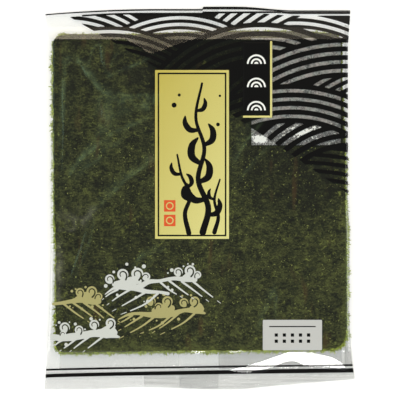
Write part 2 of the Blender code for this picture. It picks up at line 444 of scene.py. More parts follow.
    def fold_lift(self, x: Array, y: Array) -> Array:
        """How far the broad folds lift the front film."""
        total = np.zeros(np.shape(x))
        for (x0, y0), (x1, y1), height, half_width in self.folds:
            run, climb = x1 - x0, y1 - y0
            length = math.hypot(run, climb)
            t = np.clip(((x - x0) * run + (y - y0) * climb) / length**2, 0.0, 1.0)
            across = np.abs((x - x0) * climb - (y - y0) * run) / length
            total += height * np.sin(math.pi * t) * np.exp(-((across / half_width) ** 2))
        return total

    def front_base(self, x: Array, y: Array) -> Array:
        """Height of the front film without its fine creases."""
        full = self.fullness(x, y)
        across, along = x / self.crown_reach[0], y / self.crown_reach[1]
        crown = self.front_crown * (1 - across**2) * (1 - along**2)
        buckle = self.buckle * np.sin(x / self.buckle_run[0] + 1.0) * np.cos(y / self.buckle_run[1])
        level = self.front_level + crown + buckle + self.fold_lift(x, y)
        seal = self.seal_height(x, y) + self.seal_gap / 2
        rim = seal + (self.side_height + self.side_wall / 2 - seal) * full
        return rim + (seal + (level - seal) * full - rim) * self.side_turn(x, y)

    def margin_ripple(self, x: Array, y: Array) -> Array:
        """Gathers across the two slopes, where the film runs from the stack to a seal."""
        full, at_top = self.fullness(x, y), y > 0
        phase = x / 5.3 + 0.9 * np.sin(x / 11.0) + np.where(at_top, 0.4, 1.9)
        calm = np.where(y < 0, linear(x, 18.0, 6.0), 1.0)
        return np.where(at_top, 0.07, 0.16) * 4.0 * full * (1.0 - full) * np.sin(phase) * calm

    def front(self, x: Array, y: Array) -> Array:
        """Height of the front film's outer face."""
        x, y = np.asarray(x, dtype=float), np.asarray(y, dtype=float)
        lift = self.margin_ripple(x, y) + sum(crease.lift(x, y) for crease in self.creases)
        return self.front_base(x, y) + lift * self.side_turn(x, y)

    def ruffle(self, x: Array, y: Array, plain: float) -> Array:
        """Roughness of the film: ruffled on the slope to the top seal, else plain."""
        start = self.slope_start(x)
        ruffled = 0.27 + 0.25 * linear(x, 0.0, 90.0)
        return plain + (ruffled - plain) * linear(y, start - 1.0, start + 1.5)

    def back(self, x: Array, y: Array) -> Array:
        """Height of the back film's outer face, flat on the table under the stack."""
        x, y = np.asarray(x, dtype=float), np.asarray(y, dtype=float)
        full = self.back_fullness(x, y)
        seal = self.seal_height(x, y) - self.seal_gap / 2
        inside = seal + (self.back_level - seal) * full
        rim = seal + (self.side_height - self.side_wall / 2 - seal) * full
        return inside + (rim - inside) * (1.0 - self.side_turn(x, y))


# --- Making meshes ---


class MeshMaker:
    """Turns arrays and flat drawings into finished objects."""

    @staticmethod
    def link(name: str, data: bpy.types.ID) -> Piece:
        """Put an object with its data in the scene."""
        piece = bpy.data.objects.new(name, data)
        bpy.context.scene.collection.objects.link(piece)
        return piece

    @staticmethod
    def piece(name: str, shape: Shape, material: Material, smooth: bool = True,
              sharp: float = 55.0) -> Piece:
        """Make an object from points in millimetres.

        Args:
            name: The piece's name.
            shape: Points, one a row, and the corner numbers of each face.
            material: Its material.
            smooth: Whether its faces are shaded smooth.
            sharp: Bend in degrees past which an edge stays sharp.

        Returns:
            The linked object.
        """
        mesh = bpy.data.meshes.new(name)
        mesh.from_pydata((np.asarray(shape[0]) * MM).tolist(), [], shape[1])
        mesh.validate()
        if smooth:
            mesh.shade_smooth()
            mesh.set_sharp_from_angle(angle=math.radians(sharp))
        mesh.materials.append(material)
        return MeshMaker.link(name, mesh)

    @staticmethod
    def bake(piece: Piece) -> Piece:
        """Apply a piece's modifiers, and leave it a plain mesh at the origin."""
        graph = bpy.context.evaluated_depsgraph_get()
        mesh = bpy.data.meshes.new_from_object(piece.evaluated_get(graph), depsgraph=graph)
        name = mesh.name = piece.name
        if piece.type == "MESH":
            piece.modifiers.clear()
            old, piece.data = piece.data, mesh
            bpy.data.meshes.remove(old)
            return piece
        bpy.data.objects.remove(piece, do_unlink=True)
        return MeshMaker.link(name, mesh)

    @staticmethod
    def thicken(piece: Piece, thickness: float) -> Piece:
        """Give a flat print its thickness, downwards from its face."""
        solid = piece.modifiers.new("ink", "SOLIDIFY")
        solid.thickness, solid.offset = thickness * MM, -1.0
        return MeshMaker.bake(piece)

    @staticmethod
    def places(piece: Piece) -> Array:
        """The piece's points in metres, one a row."""
        flat = np.empty(len(piece.data.vertices) * 3)
        piece.data.vertices.foreach_get("co", flat)
        return flat.reshape(-1, 3)

    @staticmethod
    def move(piece: Piece, places: Array) -> None:
        """Put the piece's points at new places in metres."""
        piece.data.vertices.foreach_set("co", places.ravel())
        piece.data.update()

    @staticmethod
    def polyline(curve: bpy.types.Curve, places: Array, closed: bool = False) -> None:
        """Add a straight-sided line through places in millimetres to a curve."""
        spline = curve.splines.new("POLY")
        spline.points.add(len(places) - 1)
        for point, place in zip(spline.points, places * MM):
            point.co = (*place, 1.0)
        spline.use_cyclic_u = closed


def grid_faces(columns: int, rows: int, start: int = 0, flip: bool = False) -> list[list[int]]:
    """Quads of a grid of points that is stored columns first.

    Args:
        columns: Points across.
        rows: Points along.
        start: Number of its first point.
        flip: Whether the faces look down.

    Returns:
        Corner numbers of each face.
    """
    index = start + np.arange(columns * rows).reshape(columns, rows)
    quads = np.stack([index[:-1, :-1], index[1:, :-1], index[1:, 1:], index[:-1, 1:]], axis=-1)
    quads = quads.reshape(-1, 4)
    return (quads[:, ::-1] if flip else quads).tolist()


def flat_sheet(x: Array, y: Array, height: float = 0.0) -> Shape:
    """A flat sheet of quads over a grid."""
    return np.stack([x, y, 0 * x + height], axis=-1).reshape(-1, 3), grid_faces(*x.shape)


def rim_loop(columns: int, rows: int, start: int = 0) -> list[int]:
    """Corner numbers round a grid's outline, anticlockwise."""
    index = start + np.arange(columns * rows).reshape(columns, rows)
    return np.concatenate([index[:-1, 0], index[-1, :-1], index[:0:-1, -1], index[0, :0:-1]]).tolist()


def closed_sheet(x: Array, y: Array, upper: Array, lower: Array, coarse: int = 1) -> Shape:
    """Close two height fields over one grid into a body.

    Args:
        x: Places across, columns first.
        y: Places along.
        upper: Heights of the upper face.
        lower: Heights of the lower face.
        coarse: The lower face uses every so many grid points, which must divide the grid.

    Returns:
        Its points and faces.
    """
    top = np.stack([x, y, upper], axis=-1).reshape(-1, 3)
    thin = (slice(None, None, coarse), slice(None, None, coarse))
    low = np.stack([x[thin], y[thin], lower[thin]], axis=-1)
    columns, rows = low.shape[:2]
    faces = grid_faces(*x.shape) + grid_faces(columns, rows, len(top), flip=True)
    fine, rough = rim_loop(*x.shape), rim_loop(columns, rows, len(top))
    for k, corner in enumerate(rough):
        run = [fine[(k * coarse + n) % len(fine)] for n in range(coarse + 1)]
        faces.append([corner, rough[(k + 1) % len(rough)]] + run[::-1])
    return np.vstack([top, low.reshape(-1, 3)]), faces


def line_weights(margin_steps: int, core_steps: int, crowding: float = 0.35) -> Array:
    """Place grid lines between an edge, two rims and the far edge.

    Args:
        margin_steps: Lines across each margin.
        core_steps: Steps between the two rims.
        crowding: How much closer the lines stand at the rims, from 0 to 1.

    Returns:
        One row for each line: how much of edge, rim, far rim and far edge its place is.
    """
    near = np.linspace(0.0, 1.0, margin_steps, endpoint=False)
    t = crowded(core_steps, crowding)
    return np.vstack([np.stack([1 - near, near, 0 * near, 0 * near], axis=1),
                      np.stack([0 * t, 1 - t, t, 0 * t], axis=1),
                      np.stack([0 * near, 0 * near, near, 1 - near], axis=1)[::-1]])


def crowded(steps: int, crowding: float) -> Array:
    """Shares from 0 to 1 that stand closer at both ends, more so with more crowding."""
    t = shares(steps + 1)
    return t - crowding * np.sin(2 * math.pi * t) / (2 * math.pi)


@dataclass(frozen=True)
class PouchGrid:
    """A grid of places over the pouch's outline, with its steps over the stack and the margins."""

    form: PouchForm
    core: tuple[int, int] = (228, 232)
    margins: tuple[int, int] = (8, 36)

    def places(self) -> tuple[Array, Array]:
        """x and y of each grid point, with columns first."""
        form = self.form
        across, along = (line_weights(margin, core) for margin, core in zip(self.margins, self.core))

        def spread(y: Array) -> Array:
            """x of each grid point, from its y."""
            return (across[:, 0:1] * form.left(y) + across[:, 1:2] * form.stack_left
                    + across[:, 2:3] * form.stack_right + across[:, 3:4] * form.right(y))

        x = spread(np.zeros((1, len(along))))
        for _ in range(2):
            y = (along[:, 0] * form.bottom(x) + along[:, 1] * (form.stack_low + form.bottom_rounding)
                 + along[:, 2] * form.slope_start(x) + along[:, 3] * form.top(x))
            x = spread(y)
        return x, y


# --- Flat drawing, for the film print ---


class Drawing:
    """A flat shape held as a field that is positive inside it, on a fine grid."""

    def __init__(self, low: Point, high: Point, pitch: float) -> None:
        """Make an empty drawing between two corners, with grid points a pitch apart."""
        self.low, self.pitch = low, pitch
        across, along = (start + pitch * np.arange(math.ceil((end - start) / pitch) + 1)
                         for start, end in zip(low, high))
        self.x, self.y = np.meshgrid(across, along, indexing="ij")
        self.inside = np.full(self.x.shape, -10.0)

    def add(self, shape: Array) -> None:
        """Join a shape to the drawing."""
        self.inside = np.maximum(self.inside, shape)

    def cut(self, shape: Array) -> None:
        """Take a shape away from the drawing."""
        self.inside = np.minimum(self.inside, -shape)

    def disc(self, centre: Point, radius: float) -> Array:
        """A round spot."""
        return radius - np.hypot(self.x - centre[0], self.y - centre[1])

    def ring(self, centre: Point, outer: float, inner: float) -> Array:
        """A round ring between two radii."""
        return np.minimum(self.disc(centre, outer), -self.disc(centre, inner))

    def box(self, low: Point, high: Point, inset: float = 0.0) -> Array:
        """An upright rectangle, drawn in by an inset all round."""
        return np.minimum(np.minimum(self.x - low[0], high[0] - self.x),
                          np.minimum(self.y - low[1], high[1] - self.y)) - inset

    def stroke(self, path: Array, widths: Array) -> Array:
        """A brush stroke along a path.

        Args:
            path: Places along it.
            widths: Half width at each place.

        Returns:
            The stroke's field.
        """
        total = np.full(self.x.shape, -10.0)
        reach = float(np.max(widths)) + 2.0 * self.pitch
        for a, b, wa, wb in zip(path[:-1], path[1:], widths[:-1], widths[1:]):
            starts = [max(int((min(p, q) - reach - o) / self.pitch), 0) for p, q, o in zip(a, b, self.low)]
            stops = [int((max(p, q) + reach - o) / self.pitch) + 2 for p, q, o in zip(a, b, self.low)]
            if min(stops) <= 0:
                continue
            part = tuple(map(slice, starts, stops))
            px, py, run = self.x[part] - a[0], self.y[part] - a[1], b - a
            t = np.clip((px * run[0] + py * run[1]) / max(run @ run, 1e-9), 0.0, 1.0)
            away = np.hypot(px - run[0] * t, py - run[1] * t)
            total[part] = np.maximum(total[part], wa + (wb - wa) * t - away)
        return total

    def outline(self) -> Shape:
        """Trace the drawing as flat faces, with its edge cut smooth across the grid squares.

        Returns:
            Points with height 0, and faces that look up.
        """
        f = np.where(np.abs(self.inside) < 1e-4, 1e-4, self.inside)
        verts: list[Triple] = []
        number: dict[tuple[int, ...], int] = {}

        def point(key: tuple[int, ...], i: float, j: float) -> int:
            """Number of the point with this key, made at a grid place the first time."""
            if key not in number:
                number[key] = len(verts)
                verts.append((self.low[0] + i * self.pitch, self.low[1] + j * self.pitch, 0.0))
            return number[key]

        def crossing(i: int, j: int, k: int, m: int) -> int:
            """Number of the point where the edge crosses between two grid points."""
            a, b = f[i, j], f[k, m]
            t = min(max(a / (a - b), 0.06), 0.94)
            return point((min(i, k), min(j, m), int(i == k)), i + (k - i) * t, j + (m - j) * t)

        positive = f > 0
        count = positive[:-1, :-1].astype(int) + positive[1:, :-1] + positive[1:, 1:] + positive[:-1, 1:]
        faces = []
        for i, j in np.argwhere(count > 0).tolist():
            square = ((i, j), (i + 1, j), (i + 1, j + 1), (i, j + 1))
            face = []
            for here, after in zip(square, square[1:] + square[:1]):
                if positive[here]:
                    face.append(point(here, *here))
                if positive[here] != positive[after]:
                    face.append(crossing(*here, *after))
            faces.append(face)
        return np.array(verts), faces


# --- Node tools ---


class Nodes:
    """Adds and links nodes in one tree."""

    def __init__(self, tree: bpy.types.NodeTree) -> None:
        """Keep the tree."""
        self.tree = tree

    def feed(self, socket: Socket, value: object) -> None:
        """Link an input to another socket, or set its value; a colour gets its alpha here."""
        if isinstance(value, bpy.types.NodeSocket):
            self.tree.links.new(value, socket)
        else:
            socket.default_value = (*value, 1.0) if socket.type == "RGBA" else value

    def add(self, kind: str, inputs: dict[str | int, object] | None = None,
            **settings: object) -> bpy.types.Node:
        """Add a node.

        Args:
            kind: The node's type.
            inputs: Values or output sockets for its inputs, by name or number.
            **settings: The node's own properties.

        Returns:
            The node.
        """
        node = self.tree.nodes.new(kind)
        for name, value in settings.items():
            setattr(node, name, value)
        for name, value in (inputs or {}).items():
            self.feed(node.inputs[name], value)
        return node

    def math(self, operation: str, a: object, b: object = 0.0) -> Socket:
        """Add a Math node and give its output."""
        return self.add("ShaderNodeMath", {0: a, 1: b}, operation=operation).outputs[0]

    def times(self, a: object, b: object) -> Socket:
        """Multiply two numbers."""
        return self.math("MULTIPLY", a, b)

    def plus(self, first: object, *others: object) -> Socket:
        """Add two or more numbers."""
        for other in others:
            first = self.math("ADD", first, other)
        return first

    def clamp(self, value: Socket, low: float = 0.0, high: float = 1.0) -> Socket:
        """Hold a number between two others."""
        return self.add("ShaderNodeClamp", {"Value": value, "Min": low, "Max": high}).outputs[0]

    def span(self, value: Socket, start: float, end: float, low: float = 0.0,
             high: object = 1.0) -> Socket:
        """Map a number from start and end to low and high, held past them."""
        return self.add("ShaderNodeMapRange", {"Value": value, "From Min": start, "From Max": end,
                                               "To Min": low, "To Max": high}).outputs[0]

    def vector(self, operation: str, a: object, b: object = (0.0, 0.0, 0.0)) -> bpy.types.Node:
        """Add a Vector Math node."""
        return self.add("ShaderNodeVectorMath", {0: a, 1: b}, operation=operation)

    def dot(self, a: Socket, b: Triple) -> Socket:
        """Dot product of a place and a direction."""
        return self.vector("DOT_PRODUCT", a, b).outputs["Value"]

    def axes(self, place: Socket) -> bpy.types.NodeOutputs:
        """The X, Y and Z of a place."""
        return self.add("ShaderNodeSeparateXYZ", {"Vector": place}).outputs

    def place(self) -> Socket:
        """Object coordinates."""
        return self.add("ShaderNodeTexCoord").outputs["Object"]

    def drawn(self, scale: Triple, turn: float = 0.0) -> Socket:
        """Object coordinates, turned about Z and drawn out."""
        return self.add("ShaderNodeMapping", {"Vector": self.place(), "Rotation": (0.0, 0.0, turn),
                                              "Scale": scale}).outputs[0]

    def around(self, centre: Point, reach: Point) -> Socket:
        """Distance from a centre in millimetres, 1 at the ellipse that reach gives."""
        local = self.add("ShaderNodeMapping", {
            "Vector": self.place(), "Location": (-centre[0] / reach[0], -centre[1] / reach[1], 0.0),
            "Scale": (1.0 / (reach[0] * MM), 1.0 / (reach[1] * MM), 0.0)}).outputs[0]
        return self.vector("LENGTH", local).outputs["Value"]

    def noise(self, scale: object, detail: float = 2.0, at: Socket | None = None,
              **more: float) -> Socket:
        """Noise at Object coordinates or at another place."""
        where = self.place() if at is None else at
        return self.add("ShaderNodeTexNoise", {"Vector": where, "Scale": scale, "Detail": detail,
                                               **more}).outputs[0]

    def effect(self, group: bpy.types.NodeTree, **values: float) -> bpy.types.NodeOutputs:
        """Add a shader node group with its own values, and give its outputs."""
        return self.add("ShaderNodeGroup", values, node_tree=group).outputs

    def ramp(self, value: Socket, *stops: tuple[float, Colour]) -> Socket:
        """Add a colour ramp with the position and colour of each stop."""
        node = self.add("ShaderNodeValToRGB", {"Fac": value})
        elements = node.color_ramp.elements
        while len(elements) < len(stops):
            elements.new(0.5)
        for element, (position, colour) in zip(elements, stops):
            element.position, element.color = position, (*colour, 1.0)
        return node.outputs["Color"]

    def mix(self, share: object, a: object, b: object) -> Socket:
        """Mix two colours."""
        node = self.add("ShaderNodeMix", data_type="RGBA")
        for name, value in (("Factor", share), ("A", a), ("B", b)):
            self.feed(next(s for s in node.inputs if s.name == name and s.enabled), value)
        return next(s for s in node.outputs if s.enabled)

    def bump(self, height: Socket, depth: float, strength: float = 1.0) -> Socket:
        """Turn a height into a normal; the depth is in millimetres."""
        return self.add("ShaderNodeBump", {"Height": height, "Strength": strength,
                                           "Distance": depth * MM}).outputs["Normal"]


class MaterialNodes(Nodes):
    """The nodes of a new material, which starts empty."""

    def __init__(self, name: str) -> None:
        """Make the material."""
        self.material = bpy.data.materials.new(name)
        self.material.use_nodes = True
        self.material.node_tree.nodes.clear()
        super().__init__(self.material.node_tree)

    def shader(self, kind: str, inputs: dict[str, object] | None = None) -> Socket:
        """Add a shader."""
        return self.add("ShaderNodeBsdf" + kind, inputs).outputs[0]

    def blend(self, share: object, a: Socket, b: Socket) -> Socket:
        """Mix two shaders."""
        return self.add("ShaderNodeMixShader", {"Fac": share, 1: a, 2: b}).outputs[0]

    def finish(self, surface: Socket) -> Material:
        """End with a shader, and give the material."""
        self.add("ShaderNodeOutputMaterial", {"Surface": surface})
        return self.material

    def principled(self, colour: Socket, roughness: float, specular: float,
                   more: dict[str, object] | None = None) -> Material:
        """End with a Principled shader.

        Args:
            colour: Its base colour.
            roughness: Of its sheen.
            specular: Strength of its sheen.
            more: Its other inputs.

        Returns:
            The material.
        """
        return self.finish(self.shader("Principled", {
            "Base Color": colour, "Roughness": roughness, "Specular IOR Level": specular,
            **(more or {})}))


class EffectNodes(Nodes):
    """The nodes of a shader node group that several materials use."""

    def __init__(self, name: str, inputs: dict[str, float], *outputs: str) -> None:
        """Start the group with its numbers, and the names of its results."""
        super().__init__(bpy.data.node_groups.new(name, "ShaderNodeTree"))
        face = self.tree.interface
        for label, value in inputs.items():
            socket = face.new_socket(label, in_out="INPUT", socket_type="NodeSocketFloat")
            socket.default_value = value
        for label in outputs:
            face.new_socket(label, in_out="OUTPUT", socket_type="NodeSocketFloat")
        self.given = self.add("NodeGroupInput").outputs

    def finish(self, **results: Socket) -> bpy.types.NodeTree:
        """Send the results out, and give the group."""
        self.add("NodeGroupOutput", results)
        return self.tree


class EffectLibrary:
    """Shader node groups that more than one material uses, each built once."""

    def __init__(self) -> None:
        """Build the groups."""
        self.crinkle = self.film_crinkle()
        self.pressed = self.pressed_fibre()
        self.mottle = self.slow_mottle()

    @staticmethod
    def film_crinkle() -> bpy.types.NodeTree:
        """Fine unevenness of thin film: slow waves, short dimples and drawn-out scratches."""
        nodes = EffectNodes("film_crinkle", {"Wave": 1.0, "Dimple": 1.0, "Scratch": 1.0}, "Height")
        scratch = nodes.noise(1.0, at=nodes.drawn((260.0, 1900.0, 400.0), 0.6))
        layers = {"Wave": nodes.noise(55.0, 1.0), "Dimple": nodes.noise(420.0), "Scratch": scratch}
        return nodes.finish(Height=nodes.plus(*(nodes.times(layer, nodes.given[label])
                                                for label, layer in layers.items())))

    @staticmethod
    def pressed_fibre() -> bpy.types.NodeTree:
        """Pressed seaweed: crossing blades, pores between them and fine grit."""
        nodes = EffectNodes("pressed_fibre", {"Blotch": 1.1, "Blade": 1.5, "Grit": 0.9},
                            "Tone", "Height", "Fleck")
        blades = (nodes.noise(330.0, at=nodes.drawn((1.0, 2.0, 1.0), turn), Distortion=0.7)
                  for turn in (0.3, 1.9))
        layers = {"Blotch": (nodes.noise(150.0, 3.0, Roughness=0.6), 0.5),
                  "Blade": (nodes.math("MAXIMUM", *blades), 0.56), "Grit": (nodes.noise(1100.0), 0.5)}
        tone = nodes.plus(*(nodes.times(nodes.plus(layer, -middle), nodes.given[label])
                            for label, (layer, middle) in layers.items()), 0.5)
        near = nodes.span(nodes.noise(520.0, Distortion=0.9), 0.60, 0.74)
        drift = nodes.span(nodes.noise(95.0), 0.42, 0.62, 0.12)
        return nodes.finish(Tone=tone, Height=tone, Fleck=nodes.times(near, drift))

    @staticmethod
    def slow_mottle() -> bpy.types.NodeTree:
        """Slow unevenness of colour, for ink, paper and nori."""
        nodes = EffectNodes("slow_mottle", {"Scale": 60.0, "Contrast": 1.0}, "Mask")
        cloud = nodes.plus(nodes.noise(nodes.given["Scale"], 4.0), -0.5)
        return nodes.finish(Mask=nodes.plus(nodes.times(cloud, nodes.given["Contrast"]), 0.5))


# --- Finishes ---


class Finish(Protocol):
    """A finish has a name and builds its material with the shared effects."""

    name: str

    def build(self, effects: EffectLibrary) -> Material:
        """Make the material."""


@dataclass(frozen=True)
class FilmFinish:
    """Clear film: it lets light through, scatters some as haze and mirrors a little.

    The crinkle is the strength of its waves, dimples and scratches, and the bump their height. Film with a
    painted sheen mixes in pale cool-green and grey diffuse colour along its bend lines, a painted
    reflection, and ruffled film has its roughness in its mesh.
    """

    name: str
    tint: Colour
    ior: float = 1.05
    roughness: float = 0.35
    haze: float = 0.03
    crinkle: Triple = (0.3, 0.1, 0.1)
    bump: float = 0.03
    streak: float = 0.0
    sheen_painted: bool = False
    ruffled: bool = False

    def build(self, effects: EffectLibrary) -> Material:
        """Make the material."""
        nodes = MaterialNodes(self.name)
        crinkle = nodes.effect(effects.crinkle, **dict(zip(("Wave", "Dimple", "Scratch"), self.crinkle)))
        normal = nodes.bump(crinkle["Height"], self.bump)
        tint: object = self.tint
        if self.streak:
            rows = nodes.span(nodes.noise(1.0, 3.0, nodes.drawn((22.0, 650.0, 0.0))), 0.35, 0.65)
            tint = nodes.mix(rows, tuple(part * (1.0 - self.streak) for part in self.tint), tint)
        body = nodes.blend(self.haze, nodes.shader("Transparent", {"Color": tint}),
                           nodes.shader("Diffuse", {"Color": (0.9, 0.9, 0.9)}))
        # Painted reflection: pale cool-green and grey diffuse colour, read from the mesh's sheen numbers,
        # stands in for the film's reflections along its bend lines.
        if self.sheen_painted:
            for name, colour in ((COOL_PAINTED_SHEEN, (0.60, 0.90, 0.46)), (GREY_PAINTED_SHEEN, (0.88, 0.90, 0.66))):
                share = nodes.add("ShaderNodeAttribute", attribute_name=name).outputs["Fac"]
                body = nodes.blend(share, body, nodes.shader("Diffuse", {"Color": colour}))
        rough: object = self.roughness
        if self.ruffled:
            rough = nodes.add("ShaderNodeAttribute", attribute_name=RUFFLE).outputs["Fac"]
        gloss = nodes.shader("Glossy", {"Roughness": rough, "Normal": normal})
        fresnel = nodes.add("ShaderNodeFresnel", {"IOR": self.ior, "Normal": normal}).outputs[0]
        behind = nodes.add("ShaderNodeNewGeometry").outputs["Backfacing"]
        return nodes.finish(nodes.blend(behind, nodes.blend(fresnel, body, gloss),
                                        nodes.shader("Transparent")))


@dataclass(frozen=True)
class InkFinish:
    """Film print: a thin coloured layer with a soft sheen.

    Its colour drifts to the pale one across the front, per millimetre and from a start; on the gold panel
    this drift is a painted sheen.
    """

    name: str
    colour: Colour
    pale: Colour
    roughness: float = 0.45
    metallic: float = 0.0
    drift: Triple = (0.0, 0.0, 0.5)
    mottle: float = 0.2
    specular: float = 0.3

    def build(self, effects: EffectLibrary) -> Material:
        """Make the material."""
        nodes = MaterialNodes(self.name)
        # The drift across the front; on the gold it is a painted sheen.
        along = nodes.dot(nodes.place(), (self.drift[0] / MM, self.drift[1] / MM, 0.0))
        blotch = nodes.effect(effects.mottle, Scale=45.0, Contrast=self.mottle)["Mask"]
        level = nodes.clamp(nodes.plus(along, blotch, self.drift[2] - 0.5))
        return nodes.principled(nodes.mix(level, self.colour, self.pale), self.roughness,
                                self.specular, {"Metallic": self.metallic})


@dataclass(frozen=True)
class NoriFinish:
    """Roasted nori: dark pressed fibre with pale green flecks and a few rusty streaks.

    A patch is darker: centre, reach and depth; the first, under the print, is painted shadow of the print,
    and the second darkens the right of the middle. An edge band is paler: axis, from, to and how much.
    The warm drift is how fast it gets paler towards +X and towards -Y, per metre.
    """

    name: str
    dark: Colour = (0.009, 0.0100, 0.0058)
    mid: Colour = (0.0248, 0.0284, 0.0115)
    light: Colour = (0.070, 0.079, 0.024)
    fleck: Colour = (0.21, 0.235, 0.052)
    rust: Colour = (0.070, 0.036, 0.014)
    patches: tuple[tuple[Point, Point, float], ...] = (((2.0, 84.0), (46.0, 30.0), 0.34),
                                                       ((66.0, 26.0), (42.0, 44.0), 0.20))
    paler_edges: tuple[tuple[str, float, float, float], ...] = (("Y", -93.0, -101.0, 0.34),
                                                           ("X", 89.0, 95.0, 0.20))
    relief: float = 0.12
    warm_drift: Point = (0.28, -0.75)

    def build(self, effects: EffectLibrary) -> Material:
        """Make the material."""
        nodes = MaterialNodes(self.name)
        fibre, axes = nodes.effect(effects.pressed), nodes.axes(nodes.place())
        drift = nodes.dot(nodes.place(), (*self.warm_drift, 0.0))
        slow = nodes.effect(effects.mottle, Scale=34.0, Contrast=0.32)["Mask"]
        level = nodes.plus(fibre["Tone"], slow, -0.5, nodes.times(drift, 0.55))
        # The first patch is painted shadow of the print over it; the second is a darker area right of the
        # middle.
        for centre, reach, depth in self.patches:
            patch = nodes.span(nodes.around(centre, reach), 1.15, 0.70, 0.0, depth)
            level = nodes.math("SUBTRACT", level, patch)
        # Paler along the bottom edge and along the right edge.
        for axis, start, end, rise in self.paler_edges:
            level = nodes.plus(level, nodes.span(axes[axis], start * MM, end * MM, 0.0, rise))
        colour = nodes.ramp(level, (0.22, self.dark), (0.50, self.mid), (0.86, self.light))
        rusty = nodes.noise(1.0, 1.0, nodes.drawn((150.0, 34.0, 60.0), 0.35))
        rust = nodes.times(nodes.ramp(rusty, (0.66, BLACK), (0.80, WHITE)), 0.5)
        shown = nodes.clamp(nodes.plus(nodes.times(drift, 3.0), 0.62), 0.25, 0.95)
        colour = nodes.mix(nodes.times(fibre["Fleck"], shown), nodes.mix(rust, colour, self.rust),
                           self.fleck)
        normal = nodes.bump(fibre["Height"], self.relief)
        return nodes.principled(colour, roughness=0.7, specular=0.1, more={"Normal": normal})


@dataclass(frozen=True)
class ScrapFinish:
    """Thin nori scraps, such as the fringe, mottled from dark to pale; on the fringe the pale colour is
    partly the thin nori's own tone and partly painted backlight.
    """

    name: str
    dark: Colour = (0.105, 0.135, 0.014)
    # Partly painted backlight: the fringe is this pale as if the glowing floor shone through it.
    pale: Colour = (0.46, 0.55, 0.10)

    def build(self, effects: EffectLibrary) -> Material:
        """Make the material."""
        nodes = MaterialNodes(self.name)
        level = nodes.clamp(nodes.effect(effects.mottle, Scale=900.0, Contrast=3.0)["Mask"])
        colour = nodes.mix(level, self.dark, self.pale)
        return nodes.principled(colour, roughness=0.6, specular=0.15)


@dataclass(frozen=True)
class SachetFinish:
    """Crinkled grey sachet film with grains behind it: mottled, veined and a little shiny.

    It shimmers in two faint tints. Below the crimp's end it is darker, and its creases and a few spots are
    painted white as glints off the crinkled film. A glint spot has a centre, a reach and a raggedness.
    """

    name: str
    light: Colour = (0.36, 0.35, 0.345)
    dark: Colour = (0.15, 0.15, 0.147)
    vein: Colour = (0.045, 0.045, 0.050)
    tints: tuple[Colour, Colour] = ((0.34, 0.285, 0.28), (0.25, 0.295, 0.28))
    glint_white: Colour = (0.86, 0.87, 0.86)
    crimp_end: float = 52.0
    crimp_blend: float = 5.0
    relief: float = 0.9
    glint_spots: tuple[tuple[Point, Point, float], ...] = (((38.6, 37.9), (5.4, 2.6), 2.2),
                                                           ((66.0, 42.5), (8.0, 3.0), 6.0))

    def build(self, effects: EffectLibrary) -> Material:
        """Make the material."""
        nodes = MaterialNodes(self.name)
        grain = nodes.noise(560.0, 3.0)
        tone = nodes.ramp(grain, (0.36, self.dark), (0.60, self.light))
        tint = nodes.ramp(nodes.noise(170.0, 1.0), (0.40, self.tints[0]), (0.60, self.tints[1]))
        path = nodes.noise(290.0, 3.0, Distortion=1.6)
        away = nodes.math("ABSOLUTE", nodes.plus(path, -0.5))
        line = nodes.ramp(away, (0.020, WHITE), (0.058, BLACK))
        veined = nodes.clamp(nodes.effect(effects.mottle, Scale=150.0, Contrast=7.0)["Mask"])
        colour = nodes.mix(nodes.times(line, veined), nodes.mix(0.35, tone, tint), self.vein)
        low = nodes.span(nodes.axes(nodes.place())["Y"], self.crimp_end * MM,
                         (self.crimp_end - self.crimp_blend) * MM)
        colour = nodes.mix(nodes.times(low, 0.72), colour, self.vein)
        # Painted glints: white along the creases below the crimp's end and in the glint spots.
        ridge = nodes.ramp(away, (0.004, WHITE), (0.020, BLACK))
        lit = nodes.times(nodes.times(ridge, low), 0.8)
        for centre, reach, ragged in self.glint_spots:
            speckle = nodes.times(nodes.plus(grain, -0.5), ragged)
            lit = nodes.plus(lit, nodes.span(nodes.plus(nodes.around(centre, reach), speckle), 1.1, 0.8))
        colour = nodes.mix(nodes.clamp(lit), colour, self.glint_white)
        normal = nodes.bump(path, self.relief)
        return nodes.principled(colour, roughness=0.32, specular=0.4, more={"Normal": normal})


@dataclass(frozen=True)
class PaperFinish:
    """Sticker paper: fine fibre, with a grain's scale and relief, and a slow cloud."""

    name: str
    colour: Colour
    shade: Colour
    grain: float = 2600.0
    relief: float = 0.02

    def build(self, effects: EffectLibrary) -> Material:
        """Make the material."""
        nodes = MaterialNodes(self.name)
        fibre = nodes.noise(self.grain, 3.0)
        level = nodes.times(fibre, nodes.effect(effects.mottle, Contrast=0.6)["Mask"])
        colour, normal = nodes.mix(level, self.colour, self.shade), nodes.bump(fibre, self.relief, 0.5)
        return nodes.principled(colour, roughness=0.6, specular=0.3, more={"Normal": normal})


@dataclass(frozen=True)
class LightTableFinish:
    """The pale floor: matt, and lit a little from below as a light table is."""

    name: str
    colour: Colour = (0.62, 0.62, 0.62)
    glow: float = 0.50

    def build(self, effects: EffectLibrary) -> Material:
        """Make the material."""
        nodes = MaterialNodes(self.name)
        cloud = nodes.effect(effects.mottle, Scale=3.0, Contrast=0.3)["Mask"]
        colour = nodes.mix(cloud, self.colour, tuple(1.02 * part for part in self.colour))
        lit = {"Emission Color": WHITE, "Emission Strength": self.glow}
        return nodes.principled(colour, roughness=0.9, specular=0.1, more=lit)


